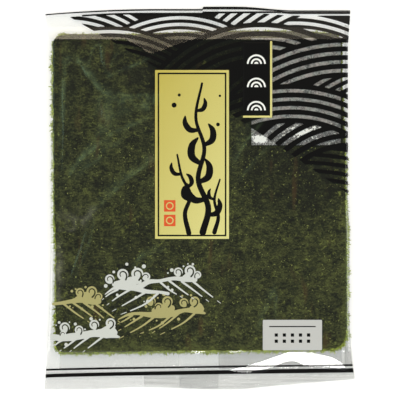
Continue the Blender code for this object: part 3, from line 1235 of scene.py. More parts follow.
FINISHES: tuple[Finish, ...] = (
    FilmFinish("film_outer", (0.995, 0.997, 0.996), 1.335, 0.02, 0.001, (0.6, 0.04, 0.02), 0.10,
               sheen_painted=True, ruffled=True),
    FilmFinish("film_inner", (0.985, 0.99, 0.987), 1.76, 0.10, 0.002, (0.8, 0.25, 0.05), 0.12,
               ruffled=True),
    FilmFinish("seal_rib", (0.98, 0.985, 0.985), 1.5, 0.12, 0.10, (0.3, 0.1, 0.4), 0.05),
    FilmFinish("back_tint", (0.93, 0.935, 0.935), 1.45, haze=0.22),
    FilmFinish("back_field", (0.90, 0.90, 0.895)),
    FilmFinish("low_shade", (0.85, 0.85, 0.845), streak=0.05),
    FilmFinish("seal_pleats", (0.99, 0.99, 0.99), haze=0.02, streak=0.04),
    FilmFinish("seal_shade", (0.95, 0.95, 0.945), haze=0.02, streak=0.13),
    FilmFinish("side_fold", (0.78, 0.78, 0.77), 1.2),
    NoriFinish("nori"),
    ScrapFinish("nori_fringe"),
    ScrapFinish("nori_scrap", (0.055, 0.064, 0.018), (0.30, 0.335, 0.090)),
    InkFinish("black_ink", (0.0042, 0.0042, 0.0045), (0.0055, 0.0052, 0.0052), specular=0.05),
    # The gold's drift towards its pale colour at the lower right is a painted sheen.
    InkFinish("gold_ink", (0.53, 0.445, 0.088), (0.73, 0.685, 0.275), metallic=0.12,
              drift=(0.010, -0.0055, 0.73), mottle=0.12),
    InkFinish("wave_gold_ink", (0.385, 0.352, 0.150), (0.42, 0.39, 0.175), 0.5, 0.08, specular=0.15),
    InkFinish("silver_ink", (0.58, 0.60, 0.58), (0.63, 0.65, 0.63), 0.5, 0.08, specular=0.15),
    InkFinish("red_ink", (0.66, 0.088, 0.026), (0.70, 0.11, 0.035), specular=0.1),
    InkFinish("white_ink", (0.82, 0.83, 0.82), (0.88, 0.89, 0.88), specular=0.1),
    SachetFinish("sachet_paper"),
    PaperFinish("sticker_paper", (0.52, 0.525, 0.52), (0.47, 0.475, 0.47)),
    LightTableFinish("floor"),
)


def build_materials() -> dict[str, Material]:
    """Make every material of the pack, by its finish's name."""
    effects = EffectLibrary()
    return {finish.name: finish.build(effects) for finish in FINISHES}


# --- Geometry Nodes ---


class GeometryTree(Nodes):
    """A Geometry Nodes tree with named inputs, for what repeats or follows a path."""

    def __init__(self, name: str, numbers: dict[str, float]) -> None:
        """Start the tree with its named inputs and their values."""
        super().__init__(bpy.data.node_groups.new(name, "GeometryNodeTree"))
        face = self.tree.interface
        for way in ("INPUT", "OUTPUT"):
            face.new_socket("Geometry", in_out=way, socket_type="NodeSocketGeometry")
        self.numbers = numbers
        self.keys = {label: face.new_socket(label, in_out="INPUT",
                                            socket_type="NodeSocketFloat").identifier
                     for label in numbers}
        self.given = self.add("NodeGroupInput").outputs

    def position(self) -> Socket:
        """Where each point is."""
        return self.add("GeometryNodeInputPosition").outputs[0]

    def random_number(self, low: Socket, high: Socket, seed: int) -> Socket:
        """A random number for each point."""
        return self.add("FunctionNodeRandomValue", {2: low, 3: high, "Seed": seed},
                        data_type="FLOAT").outputs[1]

    def random_turn(self, low: object, high: object, seed: int) -> Socket:
        """A random rotation for each point, between two sets of Euler angles."""
        angles = self.add("FunctionNodeRandomValue", {"Min": low, "Max": high, "Seed": seed},
                          data_type="FLOAT_VECTOR").outputs["Value"]
        return self.add("FunctionNodeEulerToRotation", {"Euler": angles}).outputs[0]

    def scatter(self, points: Socket, scrap: Piece, turn: Socket, size: Socket) -> Socket:
        """Put a copy of a helper object on each point."""
        shape = self.add("GeometryNodeObjectInfo", {"Object": scrap}).outputs["Geometry"]
        return self.add("GeometryNodeInstanceOnPoints", {
            "Points": points, "Instance": shape, "Rotation": turn, "Scale": size}).outputs[0]

    def run(self, geometry: Socket, material: Material, piece: Piece) -> Piece:
        """End the tree and use it on a piece.

        Args:
            geometry: What the tree has made.
            material: Its material.
            piece: The piece that carries the tree.

        Returns:
            The piece as a plain mesh.
        """
        real = self.add("GeometryNodeRealizeInstances", {"Geometry": geometry}).outputs[0]
        dressed = self.add("GeometryNodeSetMaterial", {"Geometry": real, "Material": material})
        self.add("NodeGroupOutput", {0: dressed.outputs[0]})
        modifier = piece.modifiers.new("nodes", "NODES")
        modifier.node_group = self.tree
        for label, value in self.numbers.items():
            modifier[self.keys[label]] = value
        return MeshMaker.bake(piece)


def scrap_mesh(name: str, length: float, width: float, thickness: float) -> Piece:
    """A small ragged scrap of nori, pointing along +X from its root.

    Args:
        name: The helper object's name.
        length: From root to tip.
        width: Across its middle.
        thickness: Of its middle.

    Returns:
        A helper object that isn't shown.
    """
    bm = bmesh.new()
    bmesh.ops.create_cone(bm, cap_ends=True, segments=5, radius1=0.5, radius2=0.28, depth=1.0)
    for vert in bm.verts:
        reach = vert.co.z + 0.5
        vert.co = (reach * length * MM, vert.co.x * width * MM * (1.0 - 0.3 * reach),
                   (vert.co.y + 0.25 * reach) * thickness * MM)
    bmesh.ops.recalc_face_normals(bm, faces=bm.faces[:])
    mesh = bpy.data.meshes.new(name)
    bm.to_mesh(mesh)
    bm.free()
    return MeshMaker.link(name, mesh)


# --- The stack of sheets ---


@dataclass
class NoriStack:
    """Ten roasted nori sheets, lying loosely on each other under a small sachet.

    A corner is a radius: lower left, lower right, upper right, upper left. A lean is how far a side
    stands in, and a rise how far an end stands up, at a place along it.
    """

    form: PouchForm
    materials: dict[str, Material]
    count: int = 10
    lowest: float = 0.50
    under_film: float = 0.34
    thickness: float = 0.16
    corner: tuple[float, float, float, float] = (5.0, 11.0, 6.0, 6.5)
    raggedness: float = 0.35
    slip: float = 0.45
    shrink: float = 0.9965
    skew: float = 0.0012
    right_lean: tuple[Point, ...] = ((-70, 0.2), (-20, 0.4), (-8, 1.1), (12, 1.1), (31, 1.3), (41, 1.8),
                                     (63, 2.7), (72, 3.4), (110, 3.6))
    left_lean: float = 1.0
    low_left_lean: float = 0.8
    low_gap: float = 0.7
    low_rise: float = 2.0
    high_rise: tuple[Point, ...] = ((-45, 0), (-10, 1.2), (12, 2), (50, 2), (70, 1.6), (90, 0.4))
    under_print: float = 1.3
    sachet_low: Point = (33.4, 34.2)
    sachet_high: Point = (91.0, 103.4)
    sachet_depth: float = 0.95
    steps: tuple[int, int] = (150, 162)
    hidden_steps: tuple[int, int] = (48, 52)
    fringed: tuple[int, ...] = (1, 4, 6, 8, 9)
    fringe_density: float = 3.6
    scraps: int = 2300
    scraps_to: float = 44.0
    sheet_size: Point = (190.0, 206.0)

    def _half(self, y: Array, side: int, noise: LatticeNoise) -> Array:
        """Distance from the stack's middle to a side edge, with rounded corners."""
        form = self.form
        low_r, high_r = self.corner[1:3] if side > 0 else self.corner[::3]
        past_low = np.clip(form.stack_low + low_r - y, 0.0, low_r)
        past_high = np.clip(y - (form.stack_high - high_r), 0.0, high_r)
        inset = (low_r - np.sqrt(low_r**2 - past_low**2)) + (high_r - np.sqrt(high_r**2 - past_high**2))
        lean = (np.interp(y, *zip(*self.right_lean)) if side > 0
                else self.left_lean * eased(y, 75.0, -30.0) + self.low_left_lean * eased(y, -8.0, -36.0))
        edge = (form.stack_right - form.stack_left) / 2 - inset - lean
        return edge + self.raggedness * noise(y, np.full(np.shape(y), 31.0 * side))

    def _sheet_grid(self, index: int, steps: tuple[int, int]) -> tuple[Array, Array]:
        """Places of one sheet's grid, turned and shifted a little."""
        form = self.form
        rng, noise = np.random.default_rng(100 + index), LatticeNoise(200 + index, 2.6)
        across, along = crowded(steps[0], 0.5)[:, None], crowded(steps[1], 0.72)[None, :]
        y = form.stack_low + (form.stack_high - form.stack_low) * along + 0 * across
        left, right = self._half(y, -1, noise), self._half(y, 1, noise)
        x = (form.stack_left + form.stack_right) / 2 - left + (left + right) * across
        y = y + (1.0 - along) * (self.low_gap + self.low_rise * linear(x, -80.0, 75.0))
        y = y + along**3 * np.interp(x, *zip(*self.high_rise))
        y = y + self.raggedness * noise(x, np.full(x.shape, 7.0)) * (2.0 * np.abs(along - 0.5)) ** 12
        if index < self.count - 1:
            x = x * self.shrink + rng.uniform(-self.slip, self.slip)
            y = y + rng.uniform(-self.slip, self.slip)
            x = x + y * rng.uniform(-self.skew, self.skew)
        return x, y

    def level(self, x: Array, y: Array, index: int) -> Array:
        """Height of the upper face of one sheet.

        Args:
            x: Places across.
            y: Places along.
            index: The sheet, from 0 at the bottom.

        Returns:
            Heights in millimetres.
        """
        form, share = self.form, index / (self.count - 1)
        film = form.front_base(np.clip(x, form.stack_left + 1.0, form.stack_right - 1.0), y)
        top = np.minimum(film - self.under_film, form.front_level + 0.4)
        printed = eased(x, -52.0, -34.0) * eased(x, 36.0, 30.0) * eased(y, 46.0, 62.0)
        top = top - self.sachet_depth * self.under_sachet(x, y) - self.under_print * printed
        sway = 0.10 * LatticeNoise(300 + index, 19.0)(x, y) * (0.3 + share) * (index < self.count - 1)
        return self.lowest + (top - self.lowest) * share + sway

    def under_sachet(self, x: Array, y: Array, margin: float = 1.5) -> Array:
        """1 under the sachet, falling to 0 over a margin outside it."""
        across, along = (np.minimum(linear(place, low - margin, low), linear(place, high + margin, high))
                         for place, low, high in zip((x, y), self.sachet_low, self.sachet_high))
        return np.minimum(across, along)

    def build_sachet(self) -> Piece:
        """The grey sachet between the film and the top sheet, crimped flat at its two ends."""
        low, high = self.sachet_low, self.sachet_high
        x, y = even_grid(low, high, 131, 151)
        from_side = np.minimum(x - low[0], high[0] - x)
        from_end = np.minimum(y - low[1], high[1] - y)
        plump = np.sqrt(linear(from_side, 0.0, 5.0)) * linear(from_end, 0.5, 7.5) ** 0.9
        crimp = (1.0 - eased(from_end, 2.6, 4.4)) * 0.05 * np.sin(from_end * 5.2)
        crumple = 0.16 * LatticeNoise(61, 2.6)(x, y) + 0.11 * LatticeNoise(62, 1.2)(x, y)
        ceiling = self.form.front_base(x, y) - self.under_film * 0.6
        floor = ceiling - self.sachet_depth + 0.12
        depth = 0.10 + (self.sachet_depth - 0.42) * plump
        upper = np.minimum(floor + depth + crumple * (0.5 + plump) + crimp + 0.14, ceiling)
        return MeshMaker.piece("grey_sachet", closed_sheet(x, y, upper, floor),
                               self.materials["sachet_paper"])

    def build_sheet(self, index: int) -> Piece:
        """Make one sheet as a thin closed body."""
        is_top = index == self.count - 1
        x, y = self._sheet_grid(index, self.steps if is_top else self.hidden_steps)
        z = self.level(x, y, index)
        if is_top:
            z = z - 0.05 + 0.05 * LatticeNoise(7, 1.7)(x, y) + 0.05 * LatticeNoise(8, 4.1)(x, y)
        return MeshMaker.piece(f"nori_sheet_{index + 1:02d}", closed_sheet(x, y, z, z - self.thickness),
                               self.materials["nori"])

    def edge_curve(self, name: str, index: int) -> Piece:
        """A closed curve round one sheet, anticlockwise, for its fringe."""
        x, y = self._sheet_grid(index, self.steps)
        z = self.level(x, y, index) - self.thickness / 2
        curve = bpy.data.curves.new(name, "CURVE")
        curve.dimensions = "3D"
        places = np.stack([x, y, z], axis=-1).reshape(-1, 3)[rim_loop(*x.shape)]
        MeshMaker.polyline(curve, places, closed=True)
        return MeshMaker.link(name, curve)

    def add_fringe(self, curve: Piece, scrap: Piece, seed: int) -> Piece:
        """Set scraps along a sheet's edge at random angles and sizes, and press them in.

        Args:
            curve: The sheet's edge.
            scrap: One scrap.
            seed: Seed of the random angles; the next number is the seed of the sizes.

        Returns:
            The fringe.
        """
        tree = GeometryTree(f"fringe_{seed}", {
            "Spacing": 1.0 / self.fringe_density * MM, "Smallest": 0.3, "Largest": 1.9,
            "Spread": 1.1, "Tilt": 0.5, "Sink": 0.3 * MM, "Tufting": 330.0, "Finest": 0.55})
        given = tree.given
        points = tree.add("GeometryNodeCurveToPoints", {
            "Curve": given["Geometry"], "Length": given["Spacing"]}, mode="LENGTH").outputs
        outward = tree.vector("CROSS_PRODUCT", points["Tangent"], (0.0, 0.0, 1.0)).outputs[0]
        facing = tree.add("FunctionNodeAlignRotationToVector", {"Vector": outward}, axis="X")
        low = tree.add("ShaderNodeCombineXYZ", {"X": -1.2, "Y": tree.times(given["Tilt"], -1.0),
                                                "Z": tree.times(given["Spread"], -1.0)})
        high = tree.add("ShaderNodeCombineXYZ", {"X": 1.2, "Y": given["Tilt"], "Z": given["Spread"]})
        turn = tree.add("FunctionNodeRotateRotation", {
            "Rotation": facing.outputs[0],
            "Rotate By": tree.random_turn(low.outputs[0], high.outputs[0], seed)},
            rotation_space="LOCAL").outputs[0]
        tufts = tree.span(tree.noise(given["Tufting"], 1.0, tree.position()), 0.34, 0.66, 0.45, 1.5)
        fine = tree.span(tree.dot(tree.position(), (0.35, 1.0, 0.0)), 60.0 * MM, 80.0 * MM, 1.0,
                         given["Finest"])
        size = tree.random_number(given["Smallest"], given["Largest"], seed + 1)
        inward = tree.vector("SCALE", outward)
        tree.feed(inward.inputs["Scale"], tree.times(given["Sink"], -1.0))
        sunk = tree.add("GeometryNodeSetPosition", {"Geometry": points["Points"],
                                                    "Offset": inward.outputs[0]}).outputs[0]
        copies = tree.scatter(sunk, scrap, turn, tree.times(tree.times(size, tufts), fine))
        return self.press(tree.run(copies, self.materials["nori_fringe"], curve))

    def add_surface_scraps(self, sheet: Piece, scrap: Piece) -> Piece:
        """Loose scraps pressed flat all over the top sheet."""
        carrier = MeshMaker.link("nori_surface_scraps", sheet.data.copy())
        tree = GeometryTree("surface_scraps", {
            "Density": self.scraps / (self.sheet_size[0] * self.sheet_size[1] * MM * MM),
            "Smallest": 0.35, "Largest": 1.15, "Highest": self.scraps_to * MM})
        given = tree.given
        up = tree.axes(tree.add("GeometryNodeInputNormal").outputs[0])["Z"]
        below = tree.math("LESS_THAN", tree.axes(tree.position())["Y"], given["Highest"])
        points = tree.add("GeometryNodeDistributePointsOnFaces", {
            "Mesh": given["Geometry"], "Density": given["Density"], "Seed": 11,
            "Selection": tree.times(tree.math("GREATER_THAN", up, 0.7), below)}).outputs["Points"]
        turn = tree.random_turn((-0.15, -0.12, 0.0), (0.15, 0.12, 6.283), 12)
        size = tree.random_number(given["Smallest"], given["Largest"], 13)
        return tree.run(tree.scatter(points, scrap, turn, size), self.materials["nori_scrap"], carrier)

    def press(self, piece: Piece) -> Piece:
        """Press a piece back in wherever it would stand out through the film."""
        places = MeshMaker.places(piece)
        x, y = places[:, 0] / MM, places[:, 1] / MM
        floor, ceiling = self.form.back(x, y) + 0.15, self.form.front(x, y) - self.under_film / 2
        places[:, 2] = np.clip(places[:, 2], floor * MM, ceiling * MM)
        MeshMaker.move(piece, places)
        return piece

    def build(self) -> list[Piece]:
        """Make the sheets, their fringe and the scraps on them."""
        sheets = [self.build_sheet(k) for k in range(self.count)]
        pieces = [*sheets, self.build_sachet()]
        tuft = scrap_mesh("tuft_shape", 1.3, 0.42, 0.07)
        fleck = scrap_mesh("fleck_shape", 1.0, 0.6, 0.05)
        for order, index in enumerate(self.fringed):
            curve = self.edge_curve(f"nori_fringe_{order + 1}", index)
            pieces.append(self.add_fringe(curve, tuft, 40 + 7 * order))
        pieces.append(self.add_surface_scraps(sheets[-1], fleck))
        for helper in (tuft, fleck):
            bpy.data.objects.remove(helper, do_unlink=True)
        return pieces


# --- The film ---


@dataclass
class FilmPouch:
    """The pouch of laminated clear film, with its seals and its back seam.

    The print lies in the laminate, between the outer and the inner layer. A field has its name, its
    material, x of its two sides and y of its two ends.
    """

    form: PouchForm
    materials: dict[str, Material]
    laminate: float = 0.10
    seam_span: Point = (-13.2, 12.1)
    sharp_bend: float = 11.0
    rib_pitch: float = 0.95
    rib_radius: float = 0.05
    rib_points: int = 120
    fields: tuple[tuple[str, str, float, float, float, float], ...] = (
        ("back_tint_left", "back_tint", -90.5, -13.2, -110.5, 101.6),
        ("back_tint_right", "back_tint", 12.1, 92.0, -110.5, 101.6),
        ("back_field_low", "back_field", -101.0, 101.0, -125.0, -30.0),
        ("back_field_high", "back_field", -101.0, 101.0, -29.5, 40.0),
        ("seal_pleats", "seal_pleats", -101.0, 101.0, -125.0, -111.8),
        ("seal_shade", "seal_shade", -36.0, 101.0, -125.0, -111.8),
        ("low_shade", "low_shade", 12.1, 101.0, -110.6, -96.0),
        ("side_fold", "side_fold", 93.6, 101.0, -108.0, 112.0),
    )

    @staticmethod
    def note(piece: Piece, name: str, values: Array) -> None:
        """Write a number at each point of a piece's mesh, for its material."""
        layer = piece.data.attributes.new(name, "FLOAT", "POINT")
        layer.data.foreach_set("value", values.astype(np.float32))

    def build_outer(self) -> Piece:
        """The outer layer, a closed skin that notes its painted sheen and its ruffle."""
        form = self.form
        x, y = PouchGrid(form).places()
        shape = closed_sheet(x, y, form.front(x, y), form.back(x, y), 4)
        skin = MeshMaker.piece("film_outer", shape, self.materials["film_outer"], sharp=self.sharp_bend)
        x, y, z = shape[0].T
        uneven = np.where(z > form.front(x, y) - 0.02, LatticeNoise(31, 2.6)(x, y) * 0.7 + 0.65, 0.0)
        # Painted sheen: pale colour along the bend lines, uneven, on the front face only.
        for name, grey in ((COOL_PAINTED_SHEEN, False), (GREY_PAINTED_SHEEN, True)):
            haze = sum(bend.haze(x, y) for bend in form.sheen_lines if bend.grey == grey)
            self.note(skin, name, haze * uneven)
        self.note(skin, RUFFLE, form.ruffle(x, y, 0.02))
        return skin

    def build_inner(self) -> Piece:
        """The inner layer, a closed skin inside the outer one."""
        form = self.form
        x, y = (place * (1.0 - 2.0 * self.laminate / form.width) for place in PouchGrid(form).places())
        front, back = form.front(x, y), form.back(x, y)
        parted = 0.03 * linear(front - back, form.seal_gap, form.seal_gap + 0.5)
        shape = closed_sheet(x, y, front - self.laminate - parted, back + 0.03 + parted, 4)
        skin = MeshMaker.piece("film_inner", shape, self.materials["film_inner"], sharp=self.sharp_bend)
        self.note(skin, RUFFLE, form.ruffle(*shape[0].T[:2], 0.10))
        return skin

    def build_seam(self) -> Piece:
        """The back seam's flap, folded flat against the back from cut to cut."""
        form = self.form
        x, t = even_grid((self.seam_span[0], 0.0), (self.seam_span[1], 1.0), 25, 125)
        y = (form.bottom(x) + 0.4) * (1 - t) + (form.top(x) - 0.5) * t
        upper = form.back(x, y) - 0.04
        return MeshMaker.piece("back_seam_flap", closed_sheet(x, y, upper, upper - 0.05),
                               self.materials["seal_rib"])

    def build_ribs(self) -> Piece:
        """The fine pressed ribs that run along the seals, swept by Geometry Nodes."""
        form, rng = self.form, np.random.default_rng(5)
        curve = bpy.data.curves.new("seal_ribs", "CURVE")
        curve.dimensions = "3D"
        reach = form.width / 2 - 2.5
        x = np.linspace(-reach, reach, self.rib_points)
        depth = form.bottom_seal(x) - form.bottom(x)
        rows = [form.bottom(x) + depth * share for share in np.arange(0.7, 7.6, self.rib_pitch) / 13.8]
        rows += [form.top(x) - form.top_seal_width * share for share in (0.32, 0.52)]
        for y in rows:
            kept = slice(rng.integers(0, 25), self.rib_points - rng.integers(0, 25))
            MeshMaker.polyline(curve, np.stack([x, y, form.front(x, y)], axis=-1)[kept])
        tree = GeometryTree("rib_sweep", {"Radius": self.rib_radius * MM})
        profile = tree.add("GeometryNodeCurvePrimitiveCircle", {
            "Resolution": 6, "Radius": tree.given["Radius"]}, mode="RADIUS")
        swept = tree.add("GeometryNodeCurveToMesh", {
            "Curve": tree.given["Geometry"], "Profile Curve": profile.outputs["Curve"],
            "Fill Caps": True})
        return tree.run(swept.outputs[0], self.materials["seal_rib"], MeshMaker.link("seal_ribs", curve))

    def build_field(self, number: int) -> Piece:
        """Make one of the thin tinted fields on the inside of the back; the low and seal shade fields
        darken the film as painted shade.

        Args:
            number: Which of the fields.

        Returns:
            A thin closed sheet just over the back film.
        """
        form = self.form
        name, kind, left, right, low, high = self.fields[number]
        s, t = even_grid((0.0, 0.0), (1.0, 1.0), 41, 81)
        middle = low + (high - low) * t
        start = np.maximum(left, form.left(middle) + 0.35)
        x = start + (np.minimum(right, form.right(middle) - 0.35) - start) * s
        low_edge = np.maximum(low, form.bottom(x) + 0.4)
        y = low_edge + (high - low_edge) * t
        back = form.back(x, y)
        parted = linear(form.front(x, y) - back, form.seal_gap, form.seal_gap + 0.5)
        upper = back + 0.034 + 0.0035 * number + (0.04 + 0.04 * number) * parted
        return MeshMaker.piece(name, closed_sheet(x, y, upper, upper - 0.0025 - 0.0275 * parted),
                               self.materials[kind])

    def build(self) -> list[Piece]:
        """Make every piece of film."""
        return [self.build_outer(), self.build_inner(), self.build_seam(), self.build_ribs(),
                *(self.build_field(number) for number in range(len(self.fields)))]


# --- The print ---


@dataclass(frozen=True)
class Ripple:
    """One hill of the traditional wave pattern: clear rings round a far centre.

    It has the radius of its outermost clear ring, their number, the pitch from ring to ring and the
    width of a clear ring.
    """

    centre: Point
    outer: float
    rings: int
    pitch: float
    clear: float

    def paint(self, clear_before: Array, x: Array, y: Array) -> Array:
        """Lay the hill over what is behind it.

        Args:
            clear_before: Field that is positive where the film is clear so far.
            x: Places across.
            y: Places along.

        Returns:
            The field with this hill in front.
        """
        radius = np.hypot(x - self.centre[0], y - self.centre[1])
        edge = self.clear / 2 + (self.pitch - self.clear)
        innermost = self.outer - (self.rings - 1) * self.pitch
        outside = np.maximum(radius - (self.outer + edge), (innermost - edge) - radius)
        step = np.clip(np.round((self.outer - radius) / self.pitch), 0, self.rings - 1)
        ring = self.clear / 2 - np.abs(radius - (self.outer - step * self.pitch))
        return np.maximum(np.minimum(clear_before, outside), ring)


class InkLayer(Enum):
    """How deep a print lies between the two film layers, in millimetres under the outer face."""

    LOWER = 0.075
    UPPER = 0.050
    TOP = 0.030


@dataclass(frozen=True)
class Frond:
    """A painted seaweed frond: its stem from the root, the stem's half width there, and its blades.

    A blade has its place along the stem, its side, its length and its half width.
    """

    stem: tuple[Point, ...]
    weight: float
    blades: tuple[tuple[float, float, float, float], ...]

    def draw(self, drawing: Drawing) -> None:
        """Add the frond to a drawing."""
        stem = smooth_path(self.stem, 10)
        drawing.add(drawing.stroke(stem, self.weight * (1.0 - 0.75 * shares(len(stem))) + 0.25))
        for start, side, length, weight in self.blades:
            at = int(start * (len(stem) - 2))
            root, ahead = stem[at], stem[at + 1] - stem[at]
            ahead = ahead / np.hypot(*ahead)
            out = np.array([ahead[1], -ahead[0]]) * side
            blade = smooth_path([root + (out * across + ahead * along) * length for across, along in
                                 ((0.0, 0.0), (0.62, 0.25), (0.80, 0.85), (0.62, 1.35))])
            swell = np.sin(math.pi * (0.12 + 0.83 * shares(len(blade)))) ** 0.8
            drawing.add(drawing.stroke(blade, weight * swell))


FRONDS: tuple[Frond, ...] = (
    Frond(((2, -22), (5.5, -6), (-1, 12), (3, 32), (-2.5, 52), (1.5, 74)), 1.9, ((0.16, 1, 8.5, 1.9),
        (0.27, -1, 10.5, 2.3), (0.4, 1, 10.5, 2.3), (0.52, -1, 11.5, 2.4), (0.64, 1, 9.5, 2.1),
        (0.75, -1, 8.5, 1.9), (0.86, 1, 6.5, 1.5))),
    Frond(((-7, -22.5), (-9.5, -10), (-6, 2), (-11.5, 14), (-14.5, 28)), 1.4, ((0.45, -1, 7, 1.6),
        (0.62, 1, 6, 1.5), (0.8, -1, 6.5, 1.4))),
    Frond(((9.5, -22), (12, -12), (9.5, -1), (13, 12)), 1.2, ((0.5, 1, 4, 1.1), (0.72, -1, 5, 1.2))))
FROND_SPOTS: tuple[tuple[Point, float], ...] = (
    ((-16.5, 60.0), 1.6), ((-13.2, 66.5), 1.0), ((11.8, 47.5), 1.2), ((13.0, 66.0), 0.8))


@dataclass(frozen=True)
class Curl:
    """A foam curl: a round lobe with a thin spiral left bare in it.

    The spiral starts at an angle on the rim and turns by an angle, in degrees, clockwise if negative.
    """

    at: Point
    radius: float
    start: float
    turn: float

    def spiral(self) -> tuple[Array, Array]:
        """Path and half widths of the bare spiral."""
        share = shares(30)
        angle = np.radians(self.start + 0.72 * self.turn * share)
        radius = self.radius * (0.50 + 0.58 * np.exp(-6.0 * share))
        path = np.stack([self.at[0] + radius * np.cos(angle), self.at[1] + radius * np.sin(angle)],
                        axis=1)
        return path, self.radius * (0.15 - 0.07 * share)


@dataclass(frozen=True)
class Crest:
    """A wave crest between two corners: a swelling back, foam curls, strokes under it and drops.

    The back is brush strokes, each a path with its half widths. A drop has its place and radius.
    """

    name: str
    silver: bool
    low: Point
    high: Point
    backs: tuple[tuple[tuple[Point, ...], tuple[float, ...]], ...]
    curls: tuple[Curl, ...]
    strokes: tuple[tuple[Point, ...], ...]
    drops: tuple[Triple, ...]

    def draw(self, drawing: Drawing) -> None:
        """Add the whole crest to a drawing."""
        for points, widths in self.backs:
            path = smooth_path(points)
            drawing.add(drawing.stroke(path, np.interp(shares(len(path)), shares(len(widths)), widths)))
        for curl in self.curls:
            drawing.add(drawing.disc(curl.at, curl.radius))
        for points in self.strokes:
            path = smooth_path(points, 10)
            weight = 0.56 * (1.0 - shares(len(path))) ** 0.7 + 0.16
            gap = int(len(path) * 0.78)
            drawing.add(drawing.stroke(path[:gap], weight[:gap]))
            drawing.add(drawing.stroke(path[gap + 2:], weight[gap + 2:]))
        for x, y, radius in self.drops:
            drawing.add(drawing.disc((x, y), radius))
        for curl in self.curls:
            drawing.cut(drawing.stroke(*curl.spiral()))


